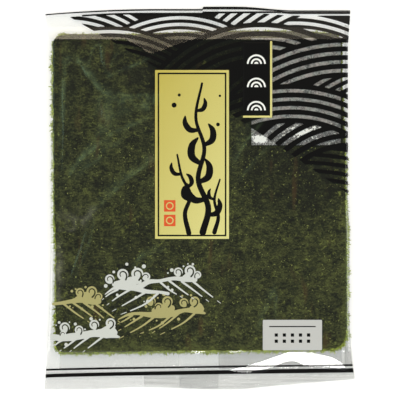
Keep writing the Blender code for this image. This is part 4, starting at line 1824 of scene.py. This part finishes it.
CRESTS: tuple[Crest, ...] = (
    Crest("silver_crest_high", True, (-65, -76), (16, -41),
          ((((-61, -62), (-55, -58), (-48, -57.3), (-40, -57.6), (-33, -54), (-26, -53.4), (-17, -51.8),
           (-9, -52.4), (-3, -52.6)), (0.3, 0.9, 2, 1.9, 1.5, 1, 1.2, 1.6, 1.5)), (((-42, -58),
           (-34, -60.2), (-26, -60.6), (-20.5, -61.6)), (1.8, 1.3, 0.9, 1.1)), (((-55, -55.5), (-50, -55),
           (-44, -53.5), (-39, -53.5)), (1.6, 2.6, 2.9, 1.6)), (((-10, -51), (-6, -49.5), (-3, -50)),
           (1.2, 2.4, 2))),
          (Curl((-58, -52.2), 3, -50, 380), Curl((-49.6, -49.2), 3.6, -60, 395), Curl((-40.2, -48.8), 3.9,
           -75, 405), Curl((-34.6, -50.6), 2.7, -160, -330), Curl((-13.8, -47.6), 2.9, -60, 390),
           Curl((-6.2, -46.8), 3.5, -80, 400), Curl((-1.4, -49.4), 2.4, -130, -340)),
          (((-53, -59), (-58, -61.6), (-63, -65.6)), ((-45, -59), (-52.5, -63.5), (-60, -69)),
           ((-35.5, -61), (-44, -66), (-56.5, -73)), ((-27, -61.5), (-34, -67.5), (-42, -71.5), (-51, -75)),
           ((-25, -54.6), (-19, -59.5), (-11, -64.2)), ((-19.5, -53.4), (-11.5, -59.4), (-3.5, -65.2)),
           ((-11.5, -53.8), (-3, -60), (6, -66.8)), ((-4, -54), (3.5, -60), (13.5, -67.8))),
          ((-60.6, -56.6, 1.2), (-55.4, -47.6, 0.9), (-47, -42.6, 1), (-36, -44, 1.3), (-41.6, -44.6, 0.6),
           (-53.2, -62.4, 0.9), (-41, -64, 1), (-33.6, -66.6, 1.1), (-35.8, -66.7, 0.5),
           (-20.4, -57.3, 0.8), (-17.8, -59.2, 0.9), (-20.5, -48.3, 0.6), (-18, -46.4, 1.2),
           (-10.4, -43.9, 0.6), (-4.4, -42.6, 0.8), (-7.6, -42.4, 0.5))),
    Crest("gold_crest_left", False, (-95.5, -86), (-49, -56),
          ((((-94.5, -68.2), (-89, -67.6), (-83, -66.6), (-76, -65.4), (-69, -66.2), (-65, -66.6)),
           (0.9, 1.1, 1.3, 2.1, 2.6, 1.6)), (((-79, -64.8), (-73, -63), (-68, -63.4)), (1.4, 2.6, 2.2))),
          (Curl((-77.2, -60.8), 2.8, -60, 385), Curl((-69.6, -60.2), 3.4, -85, 400), Curl((-65.2, -63.4),
           2.5, -150, -345)),
          (((-88, -68), (-79.5, -74.5), (-70.5, -80.5)), ((-81.5, -67.6), (-73, -73.6), (-66, -79)),
           ((-74.5, -67.6), (-66, -73.8), (-58, -80.8)), ((-66.5, -68.6), (-59.5, -74), (-51, -80.4))),
          ((-82.4, -60, 0.9), (-80, -58.6, 0.6), (-73.6, -57.4, 0.8), (-76, -71.4, 0.9),
           (-83.6, -69.7, 0.6), (-81.8, -70.7, 0.4), (-69.2, -69.9, 0.9), (-62.4, -69, 0.6),
           (-62.8, -70.6, 0.4))),
    Crest("gold_crest_middle", False, (-54, -93), (6, -60.5),
          ((((-52.5, -78.2), (-45.5, -75), (-39.5, -74.4), (-32, -75.2), (-25, -74.8), (-18, -74.6),
           (-10, -72.4), (-3, -72.6), (3.2, -74.2)), (0.3, 0.9, 1, 1.8, 2.7, 2, 1.2, 2, 0.7)),
           (((-29, -72.6), (-24, -71.4), (-18, -71)), (2, 3, 2)), (((-5, -71), (-1, -69.6), (1.2, -71.4)),
           (1.6, 2.3, 1.7))),
          (Curl((-31.4, -66.4), 3, -70, 385), Curl((-26.4, -70), 2.6, -150, -335), Curl((-20.8, -66.6), 3.4,
           -80, 395), Curl((-10.2, -67.4), 2.9, -50, 385), Curl((-3.2, -66.6), 3.2, -95, 395)),
          (((-43.5, -75.6), (-48, -78.6), (-53, -81.2)), ((-37, -76), (-44, -80.4), (-52.5, -85.6)),
           ((-30, -77.2), (-38, -83), (-52, -90.6)), ((-19.5, -76.6), (-27, -82.6), (-38.5, -87.4)),
           ((-14, -74.8), (-21, -80.6), (-31, -87.2)), ((-3.5, -74.6), (-11.5, -81), (-25.5, -88))),
          ((-34.6, -69.8, 0.9), (-29.2, -62.8, 0.9), (-27, -64.3, 0.6), (-23, -62, 1.2), (-11.2, -63, 0.7),
           (-8, -61.8, 0.5), (-5.6, -62.6, 0.8), (-42.4, -78, 0.9), (-44.6, -78.6, 0.4), (-27.8, -79, 0.6),
           (-24, -80.4, 1.1), (-13.6, -78, 1))),
    Crest("silver_crest_low", True, (-96.5, -100.5), (-49, -76),
          ((((-96, -89.4), (-89.5, -90.2), (-83, -89.6), (-76, -88.6), (-68, -87.2), (-60, -87.4),
           (-52, -89.6)), (2, 2, 2.5, 2.3, 2.3, 3, 0.6)), (((-63, -86), (-58, -84.6), (-54.6, -86.6)),
           (1.8, 2.8, 1.6))),
          (Curl((-87, -83.4), 3.3, -60, 390), Curl((-88.2, -87.6), 2, -150, -300), Curl((-77.8, -85), 2.8,
           -70, 380), Curl((-68, -81.6), 3.1, -60, 390), Curl((-57.4, -80.6), 3.2, -95, 395)),
          (((-88.5, -91.6), (-91.6, -93.4), (-94.6, -96.4)), ((-79.5, -90.6), (-84.5, -94.6),
           (-90.5, -98.8)), ((-71, -89.2), (-78, -94.4), (-84, -99.2)), ((-62.5, -89.4), (-68.5, -94),
           (-75.5, -99.4))),
          ((-90.6, -80.2, 0.9), (-92.6, -82, 0.5), (-84, -80, 0.5), (-80.2, -81.2, 1), (-74, -84.6, 0.6),
           (-70, -77.8, 1.1), (-64.4, -78.4, 0.6), (-54.8, -83, 0.6), (-86.2, -94.4, 1.1))))


@dataclass
class FilmPrint:
    """Everything that is printed on the film; the ink follows the outer layer."""

    form: PouchForm
    materials: dict[str, Material]
    film: Piece
    ink_thickness: float = 0.012
    pieces: list[Piece] = field(default_factory=list)

    panel_low: Point = (-28.8, -26.3)
    panel_high: Point = (18.9, 82.6)
    panel_rim: float = 1.7
    panel_line: float = 1.0
    square_centres: tuple[Point, ...] = ((-19.3, -5.0), (-19.3, -14.4))
    square_half: float = 3.7
    plate_low: Point = (27.9, 53.2)
    plate_high: Point = (46.0, 100.9)
    rule_width: float = 1.3
    cut_start: Point = (-84.0, 117.0)
    cut_end: Point = (95.5, 2.9)
    cut_bow: float = 3.4

    ripples: tuple[Ripple, ...] = (
        Ripple((61.5, 24.6), 92.9, 3, 4.5, 2.2),        # far right, behind
        Ripple((110.5, 4.0), 150.0, 6, 4.84, 2.6),      # the slanted strokes along the top
        Ripple((64.7, -143.0), 173.9, 5, 5.2, 2.7),     # lowest, nearly level bars
        Ripple((-85.6, 42.7), 84.9, 4, 4.4, 2.0),       # far left
        Ripple((-13.0, 40.1), 76.4, 4, 4.3, 2.1),       # left of the middle
        Ripple((-57.9, 23.7), 83.8, 4, 4.5, 2.1),       # low left
        Ripple((39.5, 24.0), 85.1, 4, 5.7, 2.5),        # middle
        Ripple((142.1, -33.4), 125.6, 4, 4.9, 2.3),     # right, the short strokes
        Ripple((97.0, -18.0), 79.7, 5, 6.1, 2.8),       # low right, broad strokes
        Ripple((93.7, -10.5), 109.6, 4, 5.6, 2.4),      # right, the tall one
        Ripple((59.5, -27.4), 96.7, 4, 5.5, 2.3),       # right, under it
    )

    def settle(self, name: str, shape: Shape, ink: str, layer: InkLayer) -> None:
        """Lay a flat shape on the film and give it its thickness.

        Args:
            name: The piece's name.
            shape: Its points and faces.
            ink: Name of its finish.
            layer: How deep under the film's face it lies.
        """
        verts, faces = shape
        above_film = verts + np.array([0.0, 0.0, 20.0])
        piece = MeshMaker.piece(name, (above_film, faces), self.materials[ink])
        wrap = piece.modifiers.new("lay", "SHRINKWRAP")
        wrap.wrap_method = "PROJECT"
        wrap.wrap_mode = "ABOVE_SURFACE"
        wrap.use_project_z = True
        wrap.use_negative_direction = True
        wrap.use_positive_direction = False
        wrap.target = self.film
        wrap.offset = 0.0
        MeshMaker.bake(piece)
        for vert in piece.data.vertices:
            vert.co.z -= layer.value * MM
        self.pieces.append(MeshMaker.thicken(piece, self.ink_thickness))

    def settle_box(self, name: str, low: Point, high: Point, ink: str, layer: InkLayer,
                   pitch: float = 1.2) -> None:
        """Lay a plain rectangle of ink, with true corners, on the film."""
        columns, rows = (max(int((end - start) / pitch), 1) + 1 for start, end in zip(low, high))
        self.settle(name, flat_sheet(*even_grid(low, high, columns, rows)), ink, layer)

    def print_cut(self, x: Array, y: Array) -> Array:
        """Field that is positive above the slanted lower edge of the wave pattern."""
        (x0, y0), (x1, y1) = self.cut_start, self.cut_end
        t = np.clip((x - x0) / (x1 - x0), -0.2, 1.2)
        line = y0 + (y1 - y0) * t + self.cut_bow * np.sin(math.pi * np.clip(t, 0, 1))
        return (y - line) * 0.85

    def add_ripples(self) -> None:
        """The black wave pattern of the top and the right side."""
        drawing = Drawing((-86.0, 2.0), (97.4, 123.0), 0.55)
        x, y = drawing.x, drawing.y
        clear = np.full(x.shape, -10.0)
        for ripple in self.ripples:
            clear = ripple.paint(clear, x, y)
        inside = np.minimum(self.print_cut(x, y), self.form.top(x) - 3.4 - y)
        inside = np.minimum(inside, self.form.right(y) - 0.2 - x)
        drawing.inside = np.minimum(inside, -clear)
        drawing.cut(drawing.box(self.panel_low, self.panel_high, -0.1))
        drawing.cut(drawing.box(self.plate_low, (self.plate_high[0] + 1.0, self.plate_high[1])))
        self.settle("ripple_print", drawing.outline(), "black_ink", InkLayer.UPPER)

    def strip(self, name: str, middle: Callable[[Array], Array], half: Callable[[Array], Array],
              low: Point, high: Point) -> None:
        """A black band that runs across the pouch.

        Args:
            name: The piece's name.
            middle: y of its middle at x.
            half: Its half width at x.
            low: Least x and y that it may reach.
            high: Greatest x and y.
        """
        drawing = Drawing((low[0] - 1.0, low[1]), (high[0] + 1.0, high[1]), 0.35)
        x, y = drawing.x, drawing.y
        ends = np.minimum(x - np.maximum(self.form.left(y) + 0.3, low[0]),
                          np.minimum(self.form.right(y) - 0.3, high[0]) - x)
        drawing.add(np.minimum(half(x) - np.abs(y - middle(x)), ends))
        self.settle(name, drawing.outline(), "black_ink", InkLayer.UPPER)

    def top_half(self, x: Array) -> Array:
        """Half width of the band at the top cut, broadest just past the seam's step."""
        broad = 0.38 * eased(x, 1.4, 2.6) * linear(x, 56.0, 26.0)
        return 0.38 + 0.14 * linear(x, -90.0, -45.0) - 0.16 * linear(x, 42.0, 56.0) + broad

    def top_middle(self, x: Array) -> Array:
        """y of the middle of the band at the top cut."""
        inset = 0.25 - 0.2 * eased(x, 1.4, 2.6)
        inset = inset + 0.3 * linear(x, -92.0, -72.0) * linear(x, -32.0, -52.0)
        return self.form.top(x) - inset - self.top_half(x)

    def second_middle(self, x: Array) -> Array:
        """y of the middle of the second band at the top."""
        level = 119.9 + 0.25 * linear(x, 20.0, 48.0) - 0.45 * eased(x, 50.0, 60.0)
        return np.where(x < self.form.seam_x, self.form.top(x) - 3.2, level)

    def add_bands(self) -> None:
        """The pairs of black bands at the bottom seal and at the top cut."""
        def climb(x: Array) -> Array:
            """How far the bottom seal's bands have climbed, as a share."""
            return linear(x, -self.form.width / 2, self.form.width / 2) ** 0.7

        self.strip("band_low_upper", lambda x: -111.0 + 3.15 * climb(x),
                   lambda x: 0.62 + 0.05 * np.sin(x / 14.0), (-99.6, -113.0), (99.6, -105.0))
        self.strip("band_low_lower", lambda x: -114.95 + 3.75 * climb(x),
                   lambda x: 1.16 + 0.2 * linear(x, -80.0, 60.0), (-100.2, -118.0), (99.9, -108.5))
        self.strip("band_top_upper", self.top_middle, self.top_half, (-99.6, 117.0), (97.6, 124.0))
        self.strip("band_top_lower", self.second_middle,
                   lambda x: 0.55 + 0.08 * eased(x, 1.4, 2.6) + 0.15 * eased(x, 50.0, 60.0),
                   (-76.0, 115.0), (97.2, 122.5))

    def add_panel(self) -> None:
        """The gold panel with its black inset line, painted fronds and two red squares."""
        low, high = self.panel_low, self.panel_high
        self.settle_box("gold_panel", low, high, "gold_ink", InkLayer.LOWER)
        line = Drawing(low, high, 0.4)
        line.add(np.minimum(line.box(low, high, self.panel_rim),
                            -line.box(low, high, self.panel_rim + self.panel_line)))
        self.settle("panel_inset_line", line.outline(), "black_ink", InkLayer.UPPER)
        painting = Drawing((-27.0, -24.0), (17.0, 80.0), 0.35)
        for frond in FRONDS:
            frond.draw(painting)
        for spot, radius in FROND_SPOTS:
            painting.add(painting.disc(spot, radius))
        self.settle("painted_fronds", painting.outline(), "black_ink", InkLayer.UPPER)
        for number, (x, y) in enumerate(self.square_centres):
            corners = [(x + side * self.square_half, y + side * self.square_half) for side in (-1, 1)]
            square = Drawing((x - 4.5, y - 4.5), (x + 4.5, y + 4.5), 0.25)
            square.add(square.box(*corners))
            square.cut(square.ring((x, y), 2.5, 1.75))
            self.settle(f"red_square_{number + 1}", square.outline(), "red_ink", InkLayer.UPPER)

    def add_plate(self) -> None:
        """The upright black plate with its gold rule and three white wave scales."""
        low, high, rule = self.plate_low, self.plate_high, self.rule_width
        side = high[0] - 0.6
        self.settle_box("black_plate", low, high, "black_ink", InkLayer.LOWER)
        self.settle_box("gold_rule_upright", (side, low[1] - rule), (side + rule, high[1] + 0.4),
                        "gold_ink", InkLayer.TOP)
        self.settle_box("gold_rule_level", (low[0], low[1] - rule), (side, low[1]), "gold_ink",
                        InkLayer.TOP)
        drawing = Drawing((29.0, 54.0), (45.0, 100.0), 0.3)
        for base in (86.6, 71.6, 56.6):
            middle = ((low[0] + high[0]) / 2 - 0.4, base)
            rings = [drawing.ring(middle, outer, outer - 1.15) for outer in (6.1, 3.6)]
            for shape in (*rings, drawing.disc(middle, 1.35)):
                drawing.add(np.minimum(shape, drawing.y - base))
        self.settle("white_scales", drawing.outline(), "white_ink", InkLayer.UPPER)

    def add_crests(self) -> None:
        """Silver and gold wave crests at the lower left, one piece each."""
        for crest in CRESTS:
            drawing = Drawing(crest.low, crest.high, 0.3)
            crest.draw(drawing)
            ink, layer = (("silver_ink", InkLayer.UPPER) if crest.silver
                          else ("wave_gold_ink", InkLayer.LOWER))
            self.settle(crest.name, drawing.outline(), ink, layer)

    def build(self) -> list[Piece]:
        """Make every print."""
        self.add_ripples()
        self.add_bands()
        self.add_panel()
        self.add_plate()
        self.add_crests()
        return self.pieces


# --- The sticker ---


@dataclass
class Sticker:
    """The white paper sticker, with a thin rule and two rows of five squares as its count."""

    form: PouchForm
    materials: dict[str, Material]
    low: Point
    high: Point
    paper: float = 0.14
    lift: float = 0.05
    corner: float = 0.25
    tally: tuple[int, int] = (5, 2)
    square: float = 2.1
    square_pitch: Point = (5.2, 4.0)
    rule_half: Point = (15.0, 0.35)

    def height(self, x: Array, y: Array) -> Array:
        """Height of the sticker's upper face, with its upper left corner a little loose."""
        across, along = linear(x, self.low[0], self.high[0]), linear(y, self.low[1], self.high[1])
        loose = 0.25 * np.clip(1.0 - 6.0 * np.hypot(across, 0.5 * (1.0 - along)), 0.0, 1.0) ** 2
        return self.form.front(x, y) + self.lift + self.paper + loose

    def build_paper(self) -> Piece:
        """The paper, a thin closed body with softly rounded corners."""
        s, y = even_grid((0.0, self.low[1]), (1.0, self.high[1]), 49, 29)
        past = np.clip(self.corner - np.minimum(y - self.low[1], self.high[1] - y), 0.0, self.corner)
        inset = self.corner - np.sqrt(self.corner**2 - past**2)
        x = self.low[0] + inset + (self.high[0] - self.low[0] - 2 * inset) * s
        upper = self.height(x, y)
        return MeshMaker.piece("sticker_paper", closed_sheet(x, y, upper, upper - self.paper),
                               self.materials["sticker_paper"])

    def build_tally(self) -> Piece:
        """The rows of printed squares, repeated by Geometry Nodes."""
        tree = GeometryTree("tally_squares", {
            "Square": self.square * MM, "Pitch X": self.square_pitch[0] * MM,
            "Pitch Y": self.square_pitch[1] * MM})
        columns, rows = self.tally
        places = tree.add("GeometryNodeMeshGrid", {
            "Size X": tree.times(tree.given["Pitch X"], columns - 1.0), "Vertices X": columns,
            "Size Y": tree.times(tree.given["Pitch Y"], rows - 1.0), "Vertices Y": rows})
        square = tree.add("GeometryNodeMeshGrid", {
            "Size X": tree.given["Square"], "Size Y": tree.given["Square"],
            "Vertices X": 5, "Vertices Y": 5})
        copies = tree.add("GeometryNodeInstanceOnPoints", {
            "Points": places.outputs["Mesh"], "Instance": square.outputs["Mesh"]})
        ink = self.materials["black_ink"]
        seed = MeshMaker.piece("sticker_tally", (np.zeros((3, 3)), [[0, 1, 2]]), ink, smooth=False)
        return self.lay(tree.run(copies.outputs[0], ink, seed), 0.40)

    def build_rule(self) -> Piece:
        """The thin printed rule over the squares."""
        across, along = self.rule_half
        shape = flat_sheet(*even_grid((-across, -along), self.rule_half, 61, 3))
        return self.lay(MeshMaker.piece("sticker_rule", shape, self.materials["black_ink"],
                                        smooth=False), 0.78)

    def lay(self, piece: Piece, share: float) -> Piece:
        """Move a flat print to its share of the paper's length, and give it a thickness."""
        flat = MeshMaker.places(piece) / MM
        x = flat[:, 0] + (self.low[0] + self.high[0]) / 2
        y = flat[:, 1] + self.low[1] + share * (self.high[1] - self.low[1])
        MeshMaker.move(piece, np.stack([x, y, self.height(x, y) + 0.03], axis=-1) * MM)
        return MeshMaker.thicken(piece, 0.02)

    def build(self) -> list[Piece]:
        """Make the paper and its print."""
        return [self.build_paper(), self.build_tally(), self.build_rule()]


# --- The studio ---


@dataclass(frozen=True)
class Softbox:
    """An area light that looks at the pouch; its place and size are in metres.

    The radiance is how bright its face looks beside a white floor.
    """

    name: str
    place: Triple
    size: Point
    radiance: float
    colour: Colour = WHITE

    def build(self) -> None:
        """Make the light."""
        light = bpy.data.lights.new(self.name, "AREA")
        light.shape = "RECTANGLE"
        light.size, light.size_y = self.size
        light.color = self.colour
        light.energy = self.radiance * math.pi * self.size[0] * self.size[1]
        lamp = MeshMaker.link(self.name, light)
        lamp.location = self.place
        lamp.rotation_euler = (-Vector(self.place)).to_track_quat("-Z", "Y").to_euler()


# The boxes' mirror images give the film its highlights.
SOFTBOXES = (
    Softbox("arch", (0.095, -0.88, 1.50), (0.24, 0.34), 18.0, (1.0, 0.99, 0.96)),
    Softbox("veil", (-0.05, 1.50, 1.37), (1.90, 1.72), 1.50, (1.0, 0.78, 0.47)),
    Softbox("sheen_left", (-0.76, 0.0, 1.60), (1.30, 0.50), 0.32, (0.55, 1.0, 0.78)),
    Softbox("sheen_right", (0.76, 0.0, 1.60), (1.30, 0.50), 0.32, (0.55, 1.0, 0.78)),
    Softbox("fill_left", (-1.55, -0.35, 1.25), (0.8, 1.0), 2.3),
    Softbox("fill_right", (1.55, -0.35, 1.25), (0.8, 1.0), 2.3),
)


@dataclass
class Studio:
    """Floor, light and camera; the camera's height is in metres."""

    materials: dict[str, Material]
    view_width: float = 258.0
    camera_height: float = 2.4
    view_centre: Point = (0.2, -1.2)
    film_height: float = 5.0
    sensor: float = 36.0
    floor_reach: float = 1500.0
    sky: tuple[tuple[float, Colour], ...] = (
        (0.0, (0.95, 0.95, 0.95)), (0.55, (0.78, 0.78, 0.78)), (0.82, (0.28, 0.32, 0.31)),
        (0.93, (0.06, 0.09, 0.08)), (0.975, (0.02, 0.025, 0.025)))

    def build_floor(self) -> None:
        """The plain pale floor."""
        reach = self.floor_reach
        shape = flat_sheet(*even_grid((-reach, -reach), (reach, reach), 13, 13), height=-0.02)
        floor = MeshMaker.piece("floor", shape, self.materials["floor"])

    def build_world(self) -> None:
        """A tent of light: dark straight overhead, where the camera stands, and pale lower down."""
        world = bpy.data.worlds.new("light_tent")
        bpy.context.scene.world = world
        world.use_nodes = True
        world.node_tree.nodes.clear()
        nodes = Nodes(world.node_tree)
        up = nodes.axes(nodes.add("ShaderNodeTexCoord").outputs["Generated"])["Z"]
        back = nodes.add("ShaderNodeBackground", {"Color": nodes.ramp(up, *self.sky), "Strength": 1.25})
        nodes.add("ShaderNodeOutputWorld", {"Surface": back.outputs[0]})

    def build_camera(self) -> None:
        """The camera, straight above and square to the front."""
        camera = bpy.data.cameras.new("camera")
        camera.sensor_width = self.sensor
        distance = self.camera_height - self.film_height * MM
        camera.lens = self.sensor * distance / (self.view_width * MM)
        camera.clip_start, camera.clip_end = 0.05, 20.0
        eye = MeshMaker.link("camera", camera)
        eye.location = (self.view_centre[0] * MM, self.view_centre[1] * MM, self.camera_height)
        bpy.context.scene.camera = eye

    def build(self) -> None:
        """Make the studio and set how the picture is shown."""
        self.build_floor()
        self.build_world()
        for box in SOFTBOXES:
            box.build()
        self.build_camera()
        scene = bpy.context.scene
        scene.view_settings.view_transform = "Standard"
        scene.view_settings.look = "None"
        scene.cycles.transparent_max_bounces = 24
        scene.cycles.max_bounces = 10
        scene.cycles.caustics_reflective = False
        scene.cycles.caustics_refractive = False


# --- Putting it together ---


def mount(pieces: Iterable[Piece], slot: Slot, *nodes: str) -> None:
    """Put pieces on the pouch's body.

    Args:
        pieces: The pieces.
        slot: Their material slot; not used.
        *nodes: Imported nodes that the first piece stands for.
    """
    for number, piece in enumerate(pieces):
        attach(piece, BODY)
        if nodes and number == 0:
            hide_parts(*nodes)
        LOG.info("%s: %d faces", piece.name, len(piece.data.polygons))


def main() -> None:
    """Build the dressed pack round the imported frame."""
    logging.basicConfig(level=logging.INFO, format="%(name)s: %(message)s")
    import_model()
    (left, low, _), (right, high, _) = (np.array(corner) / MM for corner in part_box("bag"))
    form, materials = PouchForm(float(right - left), float(high - low)), build_materials()

    film = FilmPouch(form, materials).build()
    mount(film, Slot.FILM, "bag")
    mount(NoriStack(form, materials).build(), Slot.NORI)
    for piece in FilmPrint(form, materials, film[0]).build():
        mount([piece], INK_SLOTS[piece.data.materials[0].name])
    corners = [tuple((np.array(corner[:2]) / MM).tolist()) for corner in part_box("count_sticker")]
    paper, *marks = Sticker(form, materials, *corners).build()
    mount([paper], Slot.PAPER, "count_sticker")
    mount(marks, Slot.BLACK)
    Studio(materials).build()


if __name__ == "__main__":
    main()
